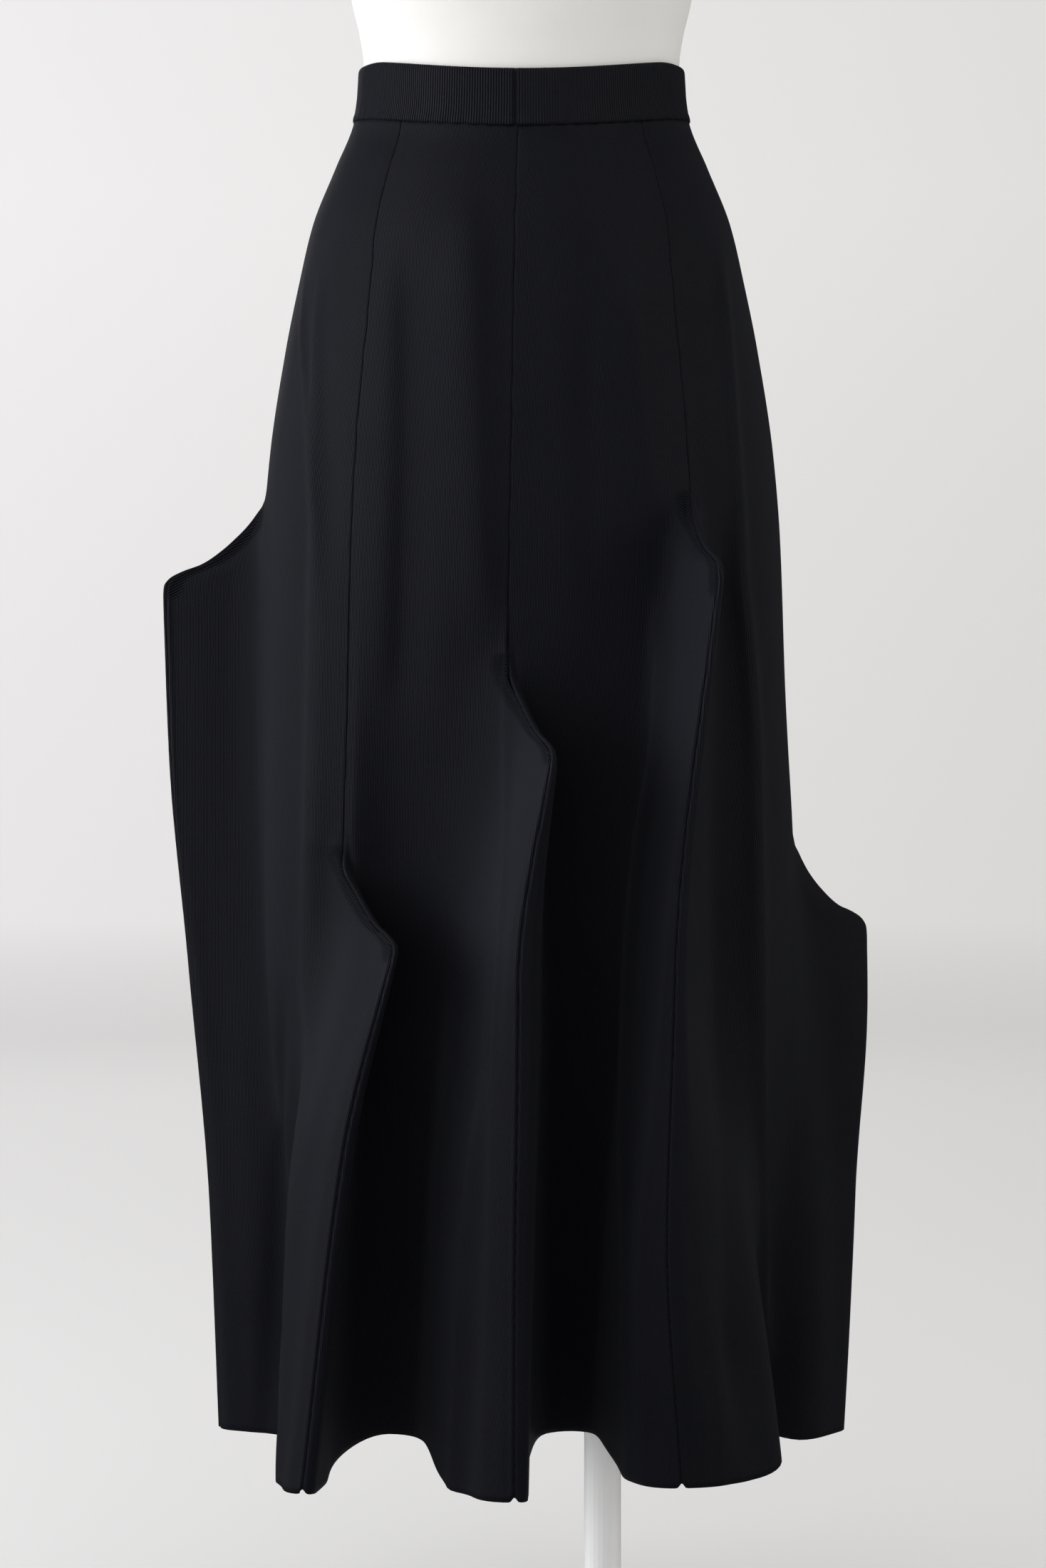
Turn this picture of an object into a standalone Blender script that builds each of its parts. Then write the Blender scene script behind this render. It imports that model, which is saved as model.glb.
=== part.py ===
"""A long knit skirt of eight gores, worn on a dress form that stands on a pole and a round base.

Every gore is cut with a step in both long edges.  Sewn to its neighbour, each step becomes a fin:
two layers of cloth that stand out from the skirt below the step and open into a fold at the hem.
Front is -Y, up is +Z and the floor is z = 0.  Lengths are in metres and angles in degrees.
A "drop" is a distance down from the top of the waistband.  A "heading" is a direction seen from
above: 0 points to the front, 90 to the right (+X), 180 to the back and -90 to the left.
"""

import math
from collections import namedtuple

import bmesh
import bpy
import numpy as np

# ---------------------------------------------------------------- driving dimensions
WAIST_TOP = 1.080  # height of the waistband's top edge at the sides
HOLLOW_DROP = 0.904  # drop of the hem in the hollow between two fins
HEM_NOTCH = 0.004  # how far a seam draws the hem up again, at the seam itself
FOLD_SHARE = 0.19  # share of a gore's width, at each side, that hangs in the fin
FRONT_DIP = 0.013  # how much lower the waist sits at the centre front
FRONT_DIP_ENDS = 0.25  # drop at which that dip has faded out

CLOTH = 0.0015  # double knit of the gores
SEAM_GAP = 0.0003  # space left between pieces that are sewn together
BAND_HEIGHT = 0.038
BAND_CLOTH = 0.0030  # the waistband is knitted double and folded over at the top
BAND_PROUD = 0.0008  # it stands this far outside the gores
BAND_SEAM_HEADING = -2.0  # its one join, near the centre front

STEP_DEPTH = 0.062  # height over which a step grows to its full reach
STEP_REACH = 0.070  # how far a step widens the cut
TURN_START, TURN_DROP = -0.012, 0.046  # a fin turns to its own heading between these, from its step
SETTLE_DROP = 0.250  # height below a corner over which the fold's foot turns with it
FLAT_CAP = 0.0022  # half thickness of a fin that lies flat
FLAT_ROOT = 0.008  # half width of the cloth at a seam that has no fin yet
HIGH_STEP, MIDDLE_STEP, LOW_STEP = 0.285, 0.391, 0.515  # drops at which the steps start

POLE_X = 0.055  # the pole stands to one side of the form's middle
POLE_RADIUS = 0.0125
BASE_RADIUS = 0.190
BASE_THICKNESS = 0.008
BASE_CHAMFER = 0.002
FORM_BOTTOM = 0.310  # drop of the form's flat underside
PART_GAP = 0.0003

# The skirt without its fins: half width at the side, depth to the front and to the back of the
# axis, and the squareness of the section (2 is an ellipse).
Body = namedtuple("Body", "drop half_width front back squareness")
BODY = [
    Body(0.000, 0.1086, 0.0870, 0.0858, 2.0),
    Body(0.018, 0.1091, 0.0866, 0.0853, 2.0),
    Body(0.038, 0.1122, 0.0876, 0.0862, 2.0),
    Body(0.069, 0.1247, 0.0950, 0.0948, 2.1),
    Body(0.107, 0.1400, 0.1030, 0.1078, 2.2),
    Body(0.146, 0.1493, 0.1090, 0.1188, 2.25),
    Body(0.190, 0.1583, 0.1143, 0.1263, 2.3),
    Body(0.261, 0.1692, 0.1200, 0.1340, 2.4),
    Body(0.319, 0.1740, 0.1240, 0.1380, 2.5),
    Body(0.415, 0.1775, 0.1285, 0.1420, 2.6),
    Body(0.526, 0.1828, 0.1320, 0.1450, 2.6),
    Body(0.920, 0.1900, 0.1360, 0.1480, 2.6),
]

# How far the front and back diagonal seams stand from the centre line, as a heading.
Spread = namedtuple("Spread", "drop heading")
SPREAD = [Spread(0.038, 44.5), Spread(0.190, 37.0), Spread(0.450, 33.5), Spread(0.920, 33.5)]

# The cut of a step: how far the edge has moved out at each distance below the step's start.
Step = namedtuple("Step", "down out")
STEP = [
    Step(0.000, 0.000),
    Step(0.014, 0.007),
    Step(0.034, 0.024),
    Step(0.053, 0.056),
    Step(STEP_DEPTH, STEP_REACH),
]

# How each fin hangs.  The root is where it leaves the skirt, the heading and the reach lead from
# there to the seam at its edge.  Cap and root widths are the half widths of the fold beside the
# seam and at the root, to the left and to the right of it seen from outside.
Fin = namedtuple(
    "Fin", "drop root_x root_y heading reach cap_left cap_right root_left root_right"
)
FINS = {
    "left": [
        Fin(0.348, -0.1735, 0.000, -90, 0.068, 0.0022, 0.0022, 0.010, 0.010),
        Fin(0.470, -0.1720, 0.000, -87, 0.065, 0.004, 0.004, 0.017, 0.017),
        Fin(0.600, -0.1680, 0.000, -83, 0.057, 0.008, 0.008, 0.028, 0.028),
        Fin(0.760, -0.1610, 0.000, -80, 0.050, 0.013, 0.013, 0.038, 0.038),
        Fin(0.920, -0.1560, 0.000, -78, 0.049, 0.018, 0.018, 0.044, 0.044),
    ],
    "front_left": [
        Fin(0.578, -0.1130, -0.110, 30, 0.070, 0.0022, 0.0022, 0.012, 0.008),
        Fin(0.700, -0.1205, -0.118, 9, 0.070, 0.012, 0.004, 0.033, 0.008),
        Fin(0.920, -0.1300, -0.130, -6, 0.070, 0.019, 0.005, 0.030, 0.006),
    ],
    "front": [
        Fin(0.453, -0.0040, -0.130, 22, 0.070, 0.0022, 0.0022, 0.010, 0.008),
        Fin(0.600, -0.0040, -0.137, 4, 0.070, 0.011, 0.012, 0.034, 0.014),
        Fin(0.750, -0.0060, -0.145, 4, 0.070, 0.022, 0.010, 0.047, 0.012),
        Fin(0.920, -0.0080, -0.155, 5, 0.070, 0.031, 0.006, 0.048, 0.008),
    ],
    "front_right": [
        Fin(0.347, 0.1060, -0.108, 17, 0.070, 0.0022, 0.0022, 0.012, 0.008),
        Fin(0.600, 0.1020, -0.128, -2, 0.068, 0.012, 0.004, 0.032, 0.018),
        Fin(0.750, 0.0970, -0.138, -2, 0.066, 0.024, 0.018, 0.036, 0.056),
        Fin(0.920, 0.0960, -0.150, 9, 0.055, 0.031, 0.050, 0.038, 0.082),
    ],
    "right": [
        Fin(0.578, 0.1835, 0.000, 126, 0.065, 0.0022, 0.0022, 0.012, 0.010),
        Fin(0.630, 0.1840, 0.000, 125, 0.0635, 0.004, 0.004, 0.018, 0.015),
        Fin(0.750, 0.1820, 0.000, 121, 0.052, 0.008, 0.007, 0.028, 0.024),
        Fin(0.920, 0.1740, 0.004, 112, 0.047, 0.016, 0.016, 0.040, 0.036),
    ],
    "back_right": [
        Fin(0.453, 0.1080, 0.122, 172, 0.070, 0.0022, 0.0022, 0.012, 0.008),
        Fin(0.640, 0.1090, 0.135, 158, 0.066, 0.007, 0.006, 0.028, 0.018),
        Fin(0.920, 0.1080, 0.150, 150, 0.062, 0.022, 0.018, 0.040, 0.034),
    ],
    "back": [
        Fin(0.347, 0.0010, 0.139, 200, 0.070, 0.0022, 0.0022, 0.012, 0.008),
        Fin(0.600, 0.0010, 0.148, 186, 0.067, 0.010, 0.006, 0.030, 0.018),
        Fin(0.920, 0.0020, 0.160, 180, 0.060, 0.030, 0.022, 0.046, 0.038),
    ],
    "back_left": [
        Fin(0.578, -0.1120, 0.124, 242, 0.070, 0.0022, 0.0022, 0.012, 0.008),
        Fin(0.720, -0.1160, 0.136, 226, 0.066, 0.007, 0.005, 0.028, 0.016),
        Fin(0.920, -0.1160, 0.150, 214, 0.062, 0.020, 0.014, 0.036, 0.030),
    ],
}
# How much lower the hem hangs at each fin.
HEM_DIPS = {
    "left": 0.013,
    "front_left": 0.020,
    "front": 0.020,
    "front_right": 0.015,
    "right": 0.019,
    "back_right": 0.018,
    "back": 0.015,
    "back_left": 0.019,
}
# The drop at which each step starts.
STEP_DROPS = {
    "left": HIGH_STEP,
    "front_left": LOW_STEP,
    "front": MIDDLE_STEP,
    "front_right": HIGH_STEP,
    "right": LOW_STEP,
    "back_right": MIDDLE_STEP,
    "back": HIGH_STEP,
    "back_left": LOW_STEP,
}

# The gores from the left side round by the front.
Gore = namedtuple("Gore", "name left right")
GORES = [
    Gore("gore_front_side_left", "left", "front_left"),
    Gore("gore_front_left", "front_left", "front"),
    Gore("gore_front_right", "front", "front_right"),
    Gore("gore_front_side_right", "front_right", "right"),
    Gore("gore_back_side_right", "right", "back_right"),
    Gore("gore_back_right", "back_right", "back"),
    Gore("gore_back_left", "back", "back_left"),
    Gore("gore_back_side_left", "back_left", "left"),
]
# The hollow in the middle of each gore: where the two guide points between its fins hang at the
# height of the fins' corners and at the hem.
Hollow = namedtuple("Hollow", "drop first_x first_y second_x second_y")
HOLLOWS = {
    "gore_front_side_left": [
        Hollow(0.600, -0.172, -0.058, -0.148, -0.100),
        Hollow(0.920, -0.113, -0.020, -0.088, -0.062),
    ],
    "gore_front_left": [
        Hollow(0.600, -0.086, -0.107, -0.056, -0.116),
        Hollow(0.920, -0.100, -0.098, -0.066, -0.104),
    ],
    "gore_front_right": [
        Hollow(0.600, 0.028, -0.114, 0.062, -0.118),
        Hollow(0.920, 0.014, -0.086, 0.052, -0.088),
    ],
    "gore_front_side_right": [
        Hollow(0.600, 0.157, -0.112, 0.182, -0.050),
        Hollow(0.760, 0.151, -0.092, 0.163, -0.040),
        Hollow(0.920, 0.126, -0.066, 0.143, -0.024),
    ],
    "gore_back_side_right": [
        Hollow(0.600, 0.166, 0.055, 0.145, 0.090),
        Hollow(0.920, 0.135, 0.031, 0.113, 0.073),
    ],
    "gore_back_right": [
        Hollow(0.600, 0.078, 0.118, 0.038, 0.122),
        Hollow(0.920, 0.079, 0.091, 0.033, 0.105),
    ],
    "gore_back_left": [
        Hollow(0.600, -0.036, 0.122, -0.078, 0.118),
        Hollow(0.920, -0.031, 0.105, -0.077, 0.091),
    ],
    "gore_back_side_left": [
        Hollow(0.600, -0.148, 0.092, -0.170, 0.052),
        Hollow(0.920, -0.111, 0.071, -0.133, 0.029),
    ],
}
HOLLOW_STARTS = 0.300  # drop at which the gores begin to sink between the fins
ARC_PUSH = 0.0014  # the spline runs this far inside its guide points on the bare hip

# Drops of the rows of a gore, with closer rows where the steps are.
STEP_ROWS = (0.0, 0.008, 0.019, 0.036, 0.050, STEP_DEPTH)
PLAIN_ROWS = (0.060, 0.088, 0.122, 0.160, 0.205, 0.248, 0.368, 0.485, 0.620, 0.680, 0.745, 0.810, 0.862)
# Where the columns of a gore lie along its spline of twelve guide points.
COLUMNS = (0.0, 0.45, 1.2, 2.2, 3.2, 4.0, 4.5, 5.0, 5.8, 6.8, 7.8, 8.55, 9.0)

# The dress form, as the body above, with the height measured up from the waist.
Form = namedtuple("Form", "rise half_width front back squareness")
FORM = [
    Form(-FORM_BOTTOM, 0.1420, 0.0950, 0.1060, 2.3),
    Form(-0.260, 0.1510, 0.1050, 0.1180, 2.3),
    Form(-0.190, 0.1536, 0.1093, 0.1213, 2.3),
    Form(-0.146, 0.1448, 0.1045, 0.1143, 2.25),
    Form(-0.107, 0.1355, 0.0985, 0.1033, 2.2),
    Form(-0.069, 0.1203, 0.0907, 0.0905, 2.1),
    Form(-0.038, 0.1094, 0.0848, 0.0834, 2.0),
    Form(-0.018, 0.1064, 0.0839, 0.0826, 2.0),
    Form(0.000, 0.1059, 0.0843, 0.0831, 2.0),
    Form(0.017, 0.1080, 0.0852, 0.0836, 2.0),
    Form(0.040, 0.1134, 0.0880, 0.0850, 2.1),
    Form(0.090, 0.1225, 0.0960, 0.0880, 2.2),
    Form(0.150, 0.1330, 0.1050, 0.0930, 2.3),
    Form(0.200, 0.1430, 0.1070, 0.0970, 2.4),
    Form(0.250, 0.1540, 0.0990, 0.0990, 2.5),
    Form(0.295, 0.1650, 0.0830, 0.0960, 2.5),
    Form(0.330, 0.1700, 0.0690, 0.0880, 2.4),
    Form(0.348, 0.1480, 0.0620, 0.0820, 2.3),
    Form(0.366, 0.1060, 0.0580, 0.0760, 2.1),
    Form(0.382, 0.0700, 0.0550, 0.0700, 2.0),
    Form(0.398, 0.0580, 0.0530, 0.0640, 2.0),
    Form(0.450, 0.0530, 0.0520, 0.0560, 2.0),
]
FORM_ROW_HEIGHT = 0.045  # the rows are the table's, with more where those stand further apart
BUST_RISE, BUST_X, BUST_OUT, BUST_SIZE = 0.172, 0.072, 0.018, 0.052
SIDES = 40  # of the form and of the waistband, at the same headings

BLACK_KNIT = ((0.012, 0.012, 0.015), 0.85, 0.0)
WHITE_COVER = ((0.80, 0.79, 0.76), 0.75, 0.0)
WHITE_METAL = ((0.78, 0.79, 0.80), 0.35, 0.0)


# ---------------------------------------------------------------- small mathematics
def smoothstep(value):
    value = min(max(value, 0.0), 1.0)
    return value * value * (3.0 - 2.0 * value)


def slopes(xs, ys):
    """Slopes at the knots of a curve that never swings past its own points."""
    steps = [(b - a) / (d - c) for a, b, c, d in zip(ys, ys[1:], xs, xs[1:])]
    inner = [0.0 if p * q <= 0 else 2.0 * p * q / (p + q) for p, q in zip(steps, steps[1:])]
    return [steps[0], *inner, steps[-1]]


def read_table(rows, at):
    """Every column of a table at one value of its first column, on a smooth curve."""
    xs = [row[0] for row in rows]
    at = min(max(at, xs[0]), xs[-1])
    i = max(0, min(len(xs) - 2, sum(x <= at for x in xs) - 1))
    span = xs[i + 1] - xs[i]
    t = (at - xs[i]) / span
    found = []
    for column in range(1, len(rows[0])):
        ys = [row[column] for row in rows]
        m = slopes(xs, ys)
        found.append(
            (2 * t**3 - 3 * t**2 + 1) * ys[i]
            + (t**3 - 2 * t**2 + t) * span * m[i]
            + (3 * t**2 - 2 * t**3) * ys[i + 1]
            + (t**3 - t**2) * span * m[i + 1]
        )
    return found


def outward(heading):
    angle = math.radians(heading)
    return np.array((math.sin(angle), -math.cos(angle)))


def rightward(heading):
    angle = math.radians(heading)
    return np.array((math.cos(angle), math.sin(angle)))


def spline_weights(count, places):
    """Weights of a clamped cubic B-spline with that many guide points, at each place."""
    knots = [0] * 3 + list(range(count - 2)) + [count - 3] * 3
    rows = []
    for place in places:
        span = min(int(place), count - 4) + 3
        basis = np.zeros(count + 3)
        basis[span] = 1.0
        for degree in (1, 2, 3):
            grown = np.zeros(count + 3)
            for i in range(count + 3 - degree):
                left = knots[i + degree] - knots[i]
                right = knots[i + degree + 1] - knots[i + 1] if i + degree + 1 < len(knots) else 0
                if left:
                    grown[i] += (place - knots[i]) / left * basis[i]
                if right:
                    grown[i] += (knots[i + degree + 1] - place) / right * basis[i + 1]
            basis = grown
        rows.append(basis[:count])
    return np.array(rows)


def moved_in(points, distance):
    """An open outline moved inwards, to the left of its direction, with square corners kept."""
    edges = np.diff(points, axis=0)
    edges /= np.linalg.norm(edges, axis=1)[:, None]
    normals = np.stack((-edges[:, 1], edges[:, 0]), axis=1)
    first = np.vstack((normals[:1], normals))
    last = np.vstack((normals, normals[-1:]))
    share = 1.0 + (first * last).sum(axis=1)
    return points + distance * (first + last) / np.maximum(share, 0.35)[:, None]


# ---------------------------------------------------------------- shape of the skirt
def oval(half_width, front, back, squareness, heading):
    """A point of a rounded oblong section, at a heading."""
    angle = math.radians(heading)
    across, along = math.sin(angle), -math.cos(angle)
    depth = front if along < 0 else back
    power = 2.0 / squareness
    x = math.copysign(abs(across) ** power, across) * half_width
    y = math.copysign(abs(along) ** power, along) * depth
    return np.array((x, y))


def body_point(drop, heading):
    return oval(*read_table(BODY, drop), heading)


def seam_heading(name, drop):
    """The heading on the body at which a seam runs."""
    spread = read_table(SPREAD, drop)[0]
    return {
        "left": -90.0,
        "front_left": -spread,
        "front": -1.2,
        "front_right": spread,
        "right": 90.0,
        "back_right": 180.0 - spread,
        "back": 180.0,
        "back_left": 180.0 + spread,
    }[name]


def base_heading(name, drop):
    """The way the skirt faces at a seam."""
    here = seam_heading(name, drop)
    along = body_point(drop, here + 2.0) - body_point(drop, here - 2.0)
    return math.degrees(math.atan2(along[1], along[0]))


def fin_at(name, drop):
    """The fin of a seam at a drop, as a row of the table above."""
    start = STEP_DROPS[name]
    rows = FINS[name]
    if drop <= rows[0].drop:
        root = body_point(drop, seam_heading(name, drop))
        below = body_point(rows[0].drop, seam_heading(name, rows[0].drop))
        share = smoothstep((drop - start) / (rows[0].drop - start))
        root += share * (np.array((rows[0].root_x, rows[0].root_y)) - below)
        facing = base_heading(name, drop)
        turn = (rows[0].heading - facing + 180.0) % 360.0 - 180.0
        heading = facing + smoothstep((drop - start - TURN_START) / TURN_DROP) * turn
        widths = [
            FLAT_CAP,
            FLAT_CAP,
            FLAT_ROOT + share * (rows[0].root_left - FLAT_ROOT),
            FLAT_ROOT + share * (rows[0].root_right - FLAT_ROOT),
        ]
        reach = rows[0].reach
    else:
        x, y, heading, reach, *widths = read_table(rows, drop)
        root = np.array((x, y))
    reach *= read_table(STEP, drop - start)[0] / STEP_REACH
    return root, heading, reach, widths


def fin_side(name, drop, side):
    """Five guide points from the seam at a fin's edge to its root, for one side of it."""
    root, heading, reach, (cap_left, cap_right, root_left, root_right) = fin_at(name, drop)
    cap, foot = (cap_left, root_left) if side < 0 else (cap_right, root_right)
    out, across = outward(heading), side * rightward(heading)
    wide = smoothstep((cap - 0.003) / 0.012)
    back = min((1.5 - 0.6 * wide) * cap, 0.45 * reach)
    middle = 0.5 * (cap + foot)
    facing = base_heading(name, drop)
    turn = (heading - facing + 180.0) % 360.0 - 180.0
    facing += smoothstep((drop - FINS[name][0].drop) / SETTLE_DROP) * turn
    return [
        root + reach * out + 0.5 * SEAM_GAP * across,
        root + reach * out + (1.0 - 0.3 * wide) * cap * across,
        root + (reach - back) * out + (cap + 0.15 * (middle - cap)) * across,
        root + 0.45 * reach * out + middle * across,
        root + side * foot * rightward(facing),
    ]


def hollow_points(gore, drop):
    """The two guide points in the middle of a gore: on the body, and sunk in further down."""
    first, last = seam_heading(gore.left, drop), seam_heading(gore.right, drop)
    last += 360.0 if last < first else 0.0
    on_body = [body_point(drop, first + share * (last - first)) for share in (1 / 3, 2 / 3)]
    on_body = np.concatenate([p * (1.0 + ARC_PUSH / np.linalg.norm(p)) for p in on_body])
    sunk = [(0.0, 0.0, 0.0, 0.0, 0.0), (HOLLOW_STARTS, 0.0, 0.0, 0.0, 0.0)]
    for row in HOLLOWS[gore.name]:
        there = [body_point(row.drop, first + share * (last - first)) for share in (1 / 3, 2 / 3)]
        sunk.append((row.drop, *(np.array(row[1:]) - np.concatenate(there))))
    return (on_body + read_table(sunk, drop)).reshape(2, 2)


def gore_guide(gore, drop):
    """Twelve guide points of a gore's section, from its left seam to its right seam."""
    left = fin_side(gore.left, drop, 1)
    right = fin_side(gore.right, drop, -1)
    return np.array([*left, *hollow_points(gore, drop), *reversed(right)])


def waist_height(point, drop):
    """The height of a point at a drop, with the waist's dip at the front."""
    forward = min(max(-point[1] / read_table(BODY, drop)[1], 0.0), 1.0)
    return WAIST_TOP - drop - FRONT_DIP * forward**2 * (1.0 - smoothstep(drop / FRONT_DIP_ENDS))


def hem_dip(gore, drop, share):
    """How much lower a gore hangs for its fins: share runs from 0 at its left seam to 1."""
    seam = gore.left if share < 0.5 else gore.right
    beside = min(share, 1.0 - share)
    in_fold = 1.0 - smoothstep((beside - FOLD_SHARE) / (0.44 - FOLD_SHARE))
    notch = HEM_NOTCH if beside == 0.0 else 0.0
    sag = smoothstep((drop - 0.5) / (HOLLOW_DROP - 0.5))
    return sag * (HEM_DIPS[seam] * in_fold - notch * sag)


def gore_rows():
    steps = [start + row for start in (HIGH_STEP, MIDDLE_STEP, LOW_STEP) for row in STEP_ROWS]
    return sorted([BAND_HEIGHT + SEAM_GAP, *PLAIN_ROWS, *steps, HOLLOW_DROP])


def gore_sheets(gore):
    """The outer and the inner surface of a gore, as rows of points from the waist to the hem."""
    weights = spline_weights(12, COLUMNS)
    outer, inner = [], []
    for drop in gore_rows():
        guide = gore_guide(gore, drop)
        flat = weights @ guide
        lengths = np.concatenate(([0.0], np.linalg.norm(np.diff(flat, axis=0), axis=1).cumsum()))
        shares = lengths / lengths[-1]
        shares[-1] = 1.0
        heights = [waist_height(p, drop) - hem_dip(gore, drop, s) for p, s in zip(flat, shares)]
        outer.append([(*p, z) for p, z in zip(flat, heights)])
        inner.append([(*p, z) for p, z in zip(weights @ moved_in(guide, CLOTH), heights)])
    return outer, inner


# ---------------------------------------------------------------- making the objects
def material(name, look):
    colour, roughness, metallic = look
    made = bpy.data.materials.new(name)
    made.use_nodes = True
    shader = made.node_tree.nodes["Principled BSDF"]
    shader.inputs["Base Color"].default_value = (*colour, 1.0)
    shader.inputs["Roughness"].default_value = roughness
    shader.inputs["Metallic"].default_value = metallic
    return made


def make_object(name, points, faces, look):
    mesh = bpy.data.meshes.new(name)
    mesh.from_pydata([tuple(map(float, p)) for p in points], [], faces)
    shape = bmesh.new()
    shape.from_mesh(mesh)
    bmesh.ops.recalc_face_normals(shape, faces=shape.faces)
    shape.to_mesh(mesh)
    shape.free()
    mesh.shade_smooth()
    mesh.set_sharp_from_angle(angle=math.radians(50))
    made = bpy.data.objects.new(name, mesh)
    made.data.materials.append(look)
    bpy.context.scene.collection.objects.link(made)
    return made


def grid_faces(first, rows, columns):
    """Quads over a grid of points that starts at an index."""
    return [
        (
            first + r * columns + c,
            first + r * columns + c + 1,
            first + (r + 1) * columns + c + 1,
            first + (r + 1) * columns + c,
        )
        for r in range(rows - 1)
        for c in range(columns - 1)
    ]


def make_gore(gore, look):
    """A wall between two sheets of points, closed along its four edges."""
    outer, inner = gore_sheets(gore)
    rows, columns = len(outer), len(outer[0])
    count = rows * columns
    points = [p for row in outer for p in row] + [p for row in inner for p in row]
    faces = grid_faces(0, rows, columns)
    faces += [tuple(reversed(face)) for face in grid_faces(count, rows, columns)]
    rim = list(range(columns))
    rim += [r * columns + columns - 1 for r in range(1, rows)]
    rim += [(rows - 1) * columns + c for c in range(columns - 2, -1, -1)]
    rim += [r * columns for r in range(rows - 2, 0, -1)]
    faces += [(b, a, a + count, b + count) for a, b in zip(rim, rim[1:] + rim[:1])]
    return make_object(gore.name, points, faces, look)


def make_waistband(look):
    """A double strip folded over at the top, joined into a ring near the centre front."""
    profile = [  # depth into the cloth and drop, round the strip's section
        (0.0000, BAND_HEIGHT),
        (0.0000, 0.024),
        (0.0000, 0.010),
        (0.0004, 0.0020),
        (0.0015, 0.0000),
        (0.0026, 0.0020),
        (BAND_CLOTH, 0.010),
        (BAND_CLOTH, 0.024),
        (BAND_CLOTH, BAND_HEIGHT),
    ]
    half_gap = math.degrees(0.5 * SEAM_GAP / BODY[0].front)
    points = []
    for side in range(SIDES + 1):
        turn = half_gap + (360.0 - 2.0 * half_gap) * side / SIDES
        heading = BAND_SEAM_HEADING + turn
        for depth, drop in profile:
            x, y = body_point(drop, heading)
            facing = body_point(drop, heading + 1.0) - body_point(drop, heading - 1.0)
            facing /= np.linalg.norm(facing)
            out = (BAND_PROUD - depth) * np.array((facing[1], -facing[0]))
            points.append((x + out[0], y + out[1], waist_height((x, y), drop)))
    count = len(profile)
    faces = grid_faces(0, SIDES + 1, count)
    faces += [
        (r * count + count - 1, r * count, (r + 1) * count, (r + 1) * count + count - 1)
        for r in range(SIDES)
    ]
    faces.append(tuple(range(count)))
    faces.append(tuple(SIDES * count + c for c in reversed(range(count))))
    return make_object("waistband", points, faces, look)


def form_point(rise, heading):
    """A point of the dress form, with two soft bust mounds and the waist's dip at the front."""
    half_width, front, back, squareness = read_table(FORM, rise)
    x, y = oval(half_width, front, back, squareness, heading)
    away = ((abs(x) - BUST_X) ** 2 + (rise - BUST_RISE) ** 2) / BUST_SIZE**2
    if y < 0:
        y -= BUST_OUT * math.exp(-away)
    forward = min(max(-y / front, 0.0), 1.0)
    dip = FRONT_DIP * forward**2 * (1.0 - smoothstep(abs(rise) / FRONT_DIP_ENDS))
    return x, y, WAIST_TOP + rise - dip


def make_form(look):
    rises = [FORM[0].rise]
    for below, above in zip(FORM, FORM[1:]):
        parts = math.ceil((above.rise - below.rise) / FORM_ROW_HEIGHT - 0.01)
        rises += [below.rise + (above.rise - below.rise) * (i + 1) / parts for i in range(parts)]
    points = [
        form_point(rise, BAND_SEAM_HEADING + 360.0 * side / SIDES)
        for rise in rises
        for side in range(SIDES)
    ]
    faces = [
        (
            r * SIDES + s,
            r * SIDES + (s + 1) % SIDES,
            (r + 1) * SIDES + (s + 1) % SIDES,
            (r + 1) * SIDES + s,
        )
        for r in range(len(rises) - 1)
        for s in range(SIDES)
    ]
    faces.append(tuple(reversed(range(SIDES))))
    faces.append(tuple((len(rises) - 1) * SIDES + s for s in range(SIDES)))
    return make_object("form_torso", points, faces, look)


def turned_solid(name, profile, centre_x, sides, look):
    """A solid of revolution about a vertical axis, from (radius, height) pairs going up."""
    points, faces = [], []
    for radius, z in profile:
        for side in range(sides):
            angle = 2.0 * math.pi * side / sides
            points.append((centre_x + radius * math.cos(angle), radius * math.sin(angle), z))
    for ring in range(len(profile) - 1):
        for side in range(sides):
            a, b = ring * sides + side, ring * sides + (side + 1) % sides
            faces.append((a, b, b + sides, a + sides))
    faces.append(tuple(reversed(range(sides))))
    faces.append(tuple((len(profile) - 1) * sides + side for side in range(sides)))
    return make_object(name, points, faces, look)


def make_stand(look):
    base = [
        (BASE_RADIUS, 0.0),
        (BASE_RADIUS, BASE_THICKNESS - BASE_CHAMFER),
        (BASE_RADIUS - BASE_CHAMFER, BASE_THICKNESS),
    ]
    turned_solid("base_plate", base, POLE_X, 48, look)
    pole = [
        (POLE_RADIUS, BASE_THICKNESS + PART_GAP),
        (POLE_RADIUS, WAIST_TOP - FORM_BOTTOM - PART_GAP),
    ]
    turned_solid("pole", pole, POLE_X, 24, look)


def main():
    for old in list(bpy.data.objects):
        bpy.data.objects.remove(old, do_unlink=True)
    knit = material("black_knit", BLACK_KNIT)
    for gore in GORES:
        make_gore(gore, knit)
    make_waistband(knit)
    make_form(material("form_cover", WHITE_COVER))
    make_stand(material("stand_metal", WHITE_METAL))


main()
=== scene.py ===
"""The looks of the draped skirt: knit gores, ribbed waistband, dress form, studio and camera.

The skirt's sections are those of the CAD model, drawn here with closer rows and columns.
Lengths are in metres and angles in degrees.  A "drop" is a distance down from the top of the
waistband, and a "heading" is a direction seen from above: 0 is the front, 90 the right (+X).
"""

import math
from collections import namedtuple

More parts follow.
